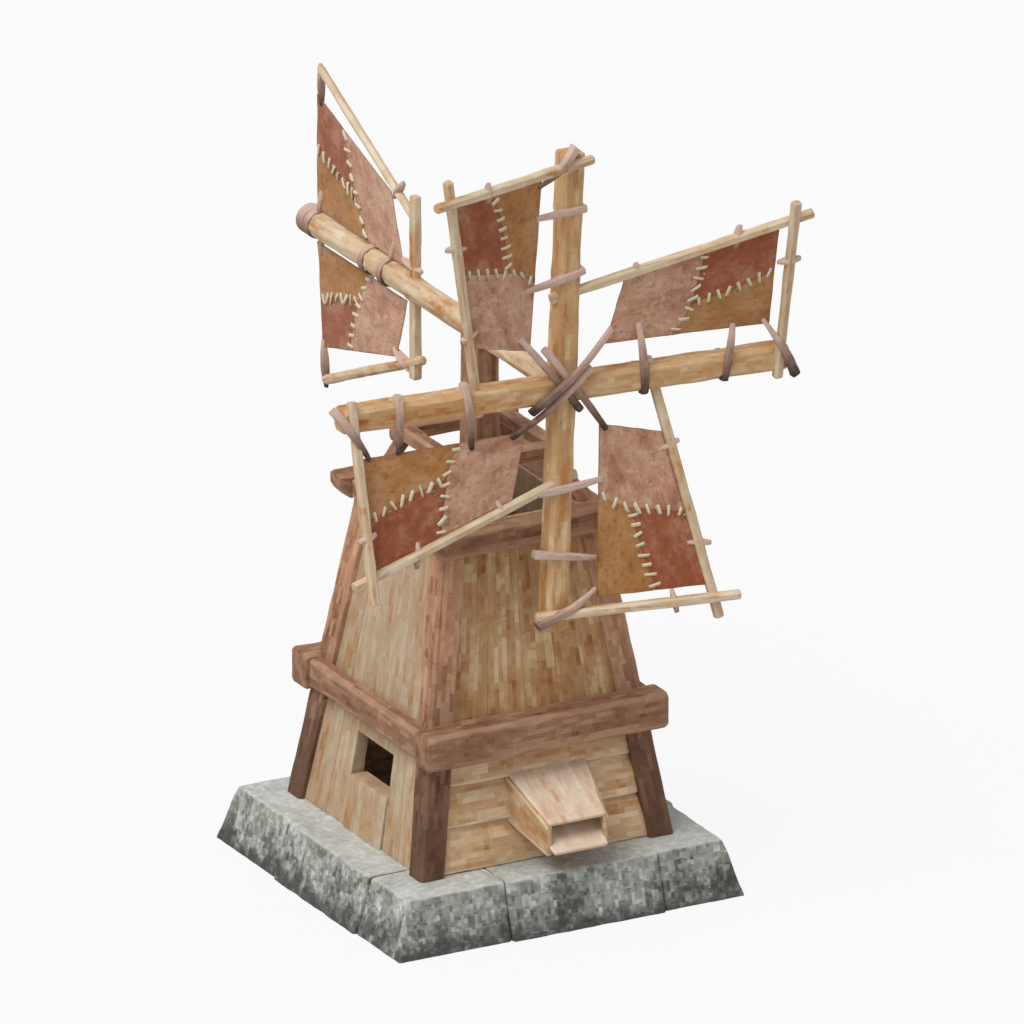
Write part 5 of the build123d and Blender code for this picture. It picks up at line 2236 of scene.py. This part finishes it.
# ---- turning head and tail
@dataclass
class TurningHead:
    """The centre post that the whole head turns on, and the windshaft that lies in its saddle.

    Attributes:
        mast: size, bottom and top of the centre post.
        pin: radius and length of the pin under it.
        shaft_height: height of the windshaft's axis.
        shaft_ends: depths of its back and front ends.
        shaft_radii: radius at the back and at the front.
        hewing: how the centre post is worked.
    """

    mast: Point = (0.244, 0.441, 4.512)
    pin: Pair = (0.06, 0.07)
    shaft_height: float = 4.436
    shaft_ends: Pair = (2.85, -1.202)
    shaft_radii: Pair = (0.106, 0.092)
    hewing: Hewing = Hewing(0.026, 0.003, (0.006, 0.014), (0.004, 0.012), 0.03)

    def build(self, bench: Bench) -> None:
        """Puts the post and the windshaft in the scene.

        Args:
            bench: takes the finished pieces.
        """
        size, bottom, top = self.mast
        radius, deep = self.pin
        square = (size, size)
        post = Timber((0, 0, bottom), (0, 0, top), (1, 0, 0), square, square, self.hewing, 500, 0.6).skin()
        ends = [(0, 0, bottom - deep), (0, 0, bottom + 0.01)]
        pin = RoundPole(*ends, (radius, radius), (0.008, 0.004), 0.001, 0.0)
        bench.put("centre_post", [post, pin.skin()], "dark", "head", ["main_mast"])
        ends = [(0, y, self.shaft_height) for y in self.shaft_ends]
        shaft = RoundPole(*ends, self.shaft_radii, (0.03, 0.02), 0.005, 0.007, 44, 0.03, 501, 0.55)
        bench.put("wind_log", [shaft.skin()], "pale", "head", ["windshaft"])


@dataclass
class TailVane:
    """Two hides stretched between an upright board, two poles and the windshaft's tail.

    Attributes:
        upright: depth of the board's middle, and its bottom and top.
        board: its width across the mill and along it.
        top_pole: its lower and upper ends, as depth and height, and its radius.
        bottom_pole: its upper and lower ends, and its radius.
        upper_hide: corners by the shaft, near the board and at the back, then at the top.
        lower_hide: corners by the shaft, then at the bottom.
        shaft: height and radius of the windshaft at the tail.
        shaft_rings: depth and width of the thongs round the shaft.
        straight_ties: both ends of every other thong, as depth and height, its width and its thickness.
        hewing: how the board is worked.
    """

    upright: Point = (1.058, 3.686, 5.195)
    board: Pair = (0.074, 0.084)
    top_pole: tuple[Point, Point, float] = ((0, 1.058, 5.000), (0, 2.630, 5.738), 0.034)
    bottom_pole: tuple[Point, Point, float] = ((0, 0.930, 3.880), (0, 2.545, 3.176), 0.042)
    upper_hide: Points = ((0, 1.239, 4.560), (0, 1.450, 5.100), (0, 2.672, 4.560), (0, 2.668, 5.505))
    lower_hide: Points = ((0, 1.190, 4.285), (0, 1.355, 3.768), (0, 2.668, 4.285), (0, 2.592, 3.434))
    shaft: Pair = (4.436, 0.104)
    shaft_rings: Points = ((1.470, 0.070), (1.770, 0.064), (2.665, 0.080), (2.765, 0.110))
    straight_ties: tuple[tuple[Point, Point, float, float], ...] = (
        ((2.618, 5.775), (2.600, 5.430), 0.044, 0.066),
        ((1.405, 5.065), (1.250, 5.245), 0.040, 0.086),
        ((1.275, 4.610), (0.945, 4.600), 0.040, 0.092),
        ((1.235, 4.335), (0.945, 4.345), 0.040, 0.092),
        ((2.580, 3.500), (2.530, 3.115), 0.044, 0.074),
        ((1.415, 3.825), (1.105, 3.715), 0.044, 0.104),
        ((1.465, 4.480), (1.400, 4.705), 0.040, 0.060),
        ((1.770, 4.380), (1.785, 4.235), 0.040, 0.050),
        ((2.640, 4.480), (2.600, 4.725), 0.044, 0.060),
        ((2.620, 4.390), (2.600, 4.190), 0.040, 0.050),
    )
    hewing: Hewing = Hewing(0.010, 0.002, (0.010, 0.010), (0.008, 0.008), 0.022)

    def ties(self) -> list[Skin]:
        """Every thong of the tail.

        Returns:
            The thongs round the shaft, then the straight ones.
        """
        height, radius = self.shaft
        skins = [
            Strap.ring((0, depth, height), radius + 0.001, width, 0.016, 610 + k).skin()
            for k, (depth, width) in enumerate(self.shaft_rings)
        ]
        for k, (start, end, width, thickness) in enumerate(self.straight_ties):
            first, second = (0.0, *start), (0.0, *end)
            across = np.cross((1.0, 0.0, 0.0), np.subtract(second, first))
            sizes = (width - 0.008, width - 0.004), (0.024, 0.026)
            belly = (0.002, thickness - 0.030)
            skins.append(Lashing(first, second, across, *sizes, belly, 0.0, 600 + k).skin())
        return skins

    def build(self, bench: Bench) -> None:
        """Puts the board, poles, hides and thongs in the scene.

        Args:
            bench: takes the finished pieces.
        """
        depth, low, high = self.upright
        sizes = ((self.board[0],) * 2, (self.board[1],) * 2)
        board = Timber((0, depth, low), (0, depth, high), (1, 0, 0), *sizes, self.hewing, 620, 0.7).skin()
        bench.put("tail_board", [board], "pale", "head", ["tail_upright"])
        for name, node, (start, end, radius), seed in (
            ("tail_pole_upper", "tail_top_pole", self.top_pole, 622),
            ("tail_pole_lower", "tail_bottom_pole", self.bottom_pole, 623),
        ):
            pole = RoundPole(start, end, (radius, radius), (0.03, 0.03), 0.003, 0.003, 24, 0.025, seed, 0.6)
            bench.put(name, [pole.skin()], "pale", "head", [node])
        seams = ((0, 0.3, 0.6, 1), (0.42, 0.50, 0.57, 0.63))
        for name, corners, seed in (("upper", self.upper_hide, 21), ("lower", self.lower_hide, 22)):
            hide = Hide(np.array(corners, float), seed, cross_seam=seams, billow=0.004)
            holders = [f"tail_pole_{name}", "tail_ties", "wind_log"]
            hide.build(bench, f"tail_hide_{name}_patched", f"tail_hide_{name}", "head", holders)
        bench.put("tail_ties", self.ties(), "thong", "head", ["tail_thongs"])


# ---- studio
@dataclass
class Studio:
    """Camera, light and floor.

    Attributes:
        azimuth: of the camera, in degrees anticlockwise from straight ahead of the mill, seen from above.
        elevation: of the camera, in degrees.
        target: the place at the middle of the view.
        distance: from the camera to it.
        view_width: width of what the camera sees there.
        sky: strength of the even light from all round.
        sun: strength of the main light.
        sun_from: direction that the main light comes from.
        sun_size: how large it looks, in degrees, which softens its shadows.
        floor_half: half the width of the floor.
    """

    azimuth: float = -28.17
    elevation: float = 21.12
    target: Point = (0.218, -0.117, 2.94)
    distance: float = 360.0
    view_width: float = 7.91
    sky: float = 0.50
    sun: float = 2.0
    sun_from: Point = (-0.62, -0.22, 1.0)
    sun_size: float = 35.0
    floor_half: float = 60.0

    def camera(self) -> None:
        """Sets the camera far off with a long lens, so that lines stay parallel."""
        a, e = math.radians(self.azimuth), math.radians(self.elevation)
        back = Vector((math.sin(a) * math.cos(e), -math.cos(a) * math.cos(e), math.sin(e)))
        lens = bpy.data.cameras.new("camera")
        lens.sensor_width = 36.0
        lens.lens = 36.0 * self.distance / self.view_width
        lens.clip_start, lens.clip_end = 10.0, 2000.0
        holder = bpy.data.objects.new("camera", lens)
        holder.location = Vector(self.target) + back * self.distance
        holder.rotation_euler = back.to_track_quat("Z", "Y").to_euler()
        bpy.context.scene.collection.objects.link(holder)
        bpy.context.scene.camera = holder

    def lights(self) -> None:
        """Sets an even sky, white where the camera sees it, and one soft lamp from above."""
        graph = Graph(bpy.data.worlds.new("sky"))
        bpy.context.scene.world = graph.owner
        seen = graph.add("LightPath", {}, {}, "Is Camera Ray")
        bright = seen.other("Is Glossy Ray").or_else(seen.other("Is Transmission Ray"))
        even, white = (
            graph.add("Background", {}, {"Color": (1.0, 1.0, 1.0, 1.0), "Strength": strength})
            for strength in (self.sky, 1.0)
        )
        graph.add_output(graph.add("MixShader", {}, {0: seen.or_else(bright), 1: even, 2: white}))
        lamp = bpy.data.lights.new("soft_lamp", "SUN")
        lamp.energy = self.sun
        lamp.angle = math.radians(self.sun_size)
        holder = bpy.data.objects.new("soft_lamp", lamp)
        holder.rotation_euler = Vector(self.sun_from).to_track_quat("Z", "Y").to_euler()
        bpy.context.scene.collection.objects.link(holder)

    def floor(self) -> None:
        """Lays a white floor that shows only a faint shadow to the camera."""
        half = self.floor_half
        corners = np.array([(x * half, y * half, -0.001) for x, y in CORNERS], np.float32)
        mesh = bpy.data.meshes.new("floor")
        mesh.from_pydata(corners.tolist(), [], [(0, 1, 2, 3)])
        graph = Graph(bpy.data.materials.new("white_floor"))
        plain = graph.add("BsdfDiffuse", {}, {"Color": (0.6, 0.6, 0.6, 1.0)})
        white = graph.add("Emission", {}, {"Color": (1.0, 1.0, 1.0, 1.0), "Strength": 1.0})
        seen = graph.add("LightPath", {}, {}, "Is Camera Ray")
        graph.add_output(graph.add("MixShader", {}, {0: seen * 0.9, 1: plain, 2: white}))
        mesh.materials.append(graph.owner)
        floor = bpy.data.objects.new("floor", mesh)
        bpy.context.scene.collection.objects.link(floor)

    def build(self) -> None:
        """Sets up the whole studio."""
        bpy.context.scene.view_settings.view_transform = "Standard"
        self.camera()
        self.lights()
        self.floor()
        log.info("studio is set")


def clear_scene() -> None:
    """Removes whatever the program starts with."""
    for thing in list(bpy.data.objects):
        bpy.data.objects.remove(thing)


def plain(box: Iterable[Any]) -> list[Any]:
    """A box as plain lists of numbers."""
    return [[float(value) for value in corner] for corner in box]


def main() -> None:
    """Builds the mill from its foot to its sails and lights it."""
    logging.basicConfig(level=logging.INFO, format="%(message)s")
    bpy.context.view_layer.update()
    bench = Bench(Finishes().build())
    shape = TowerShape()
    for part in (
        Plinth(),
        TowerFrame(shape),
        TowerWalls(shape),
        HatchSill(shape),
        FlourChute(shape),
        UpperFrame(shape),
        TurningHead(),
        TailVane(),
        Rotor(),
    ):
        part.build(bench)
        log.info("%s is done", type(part).__name__)
    Studio().build()
    log.info("%d pieces", len(bench.made))


clear_scene()
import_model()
if __name__ == "__main__":
    main()
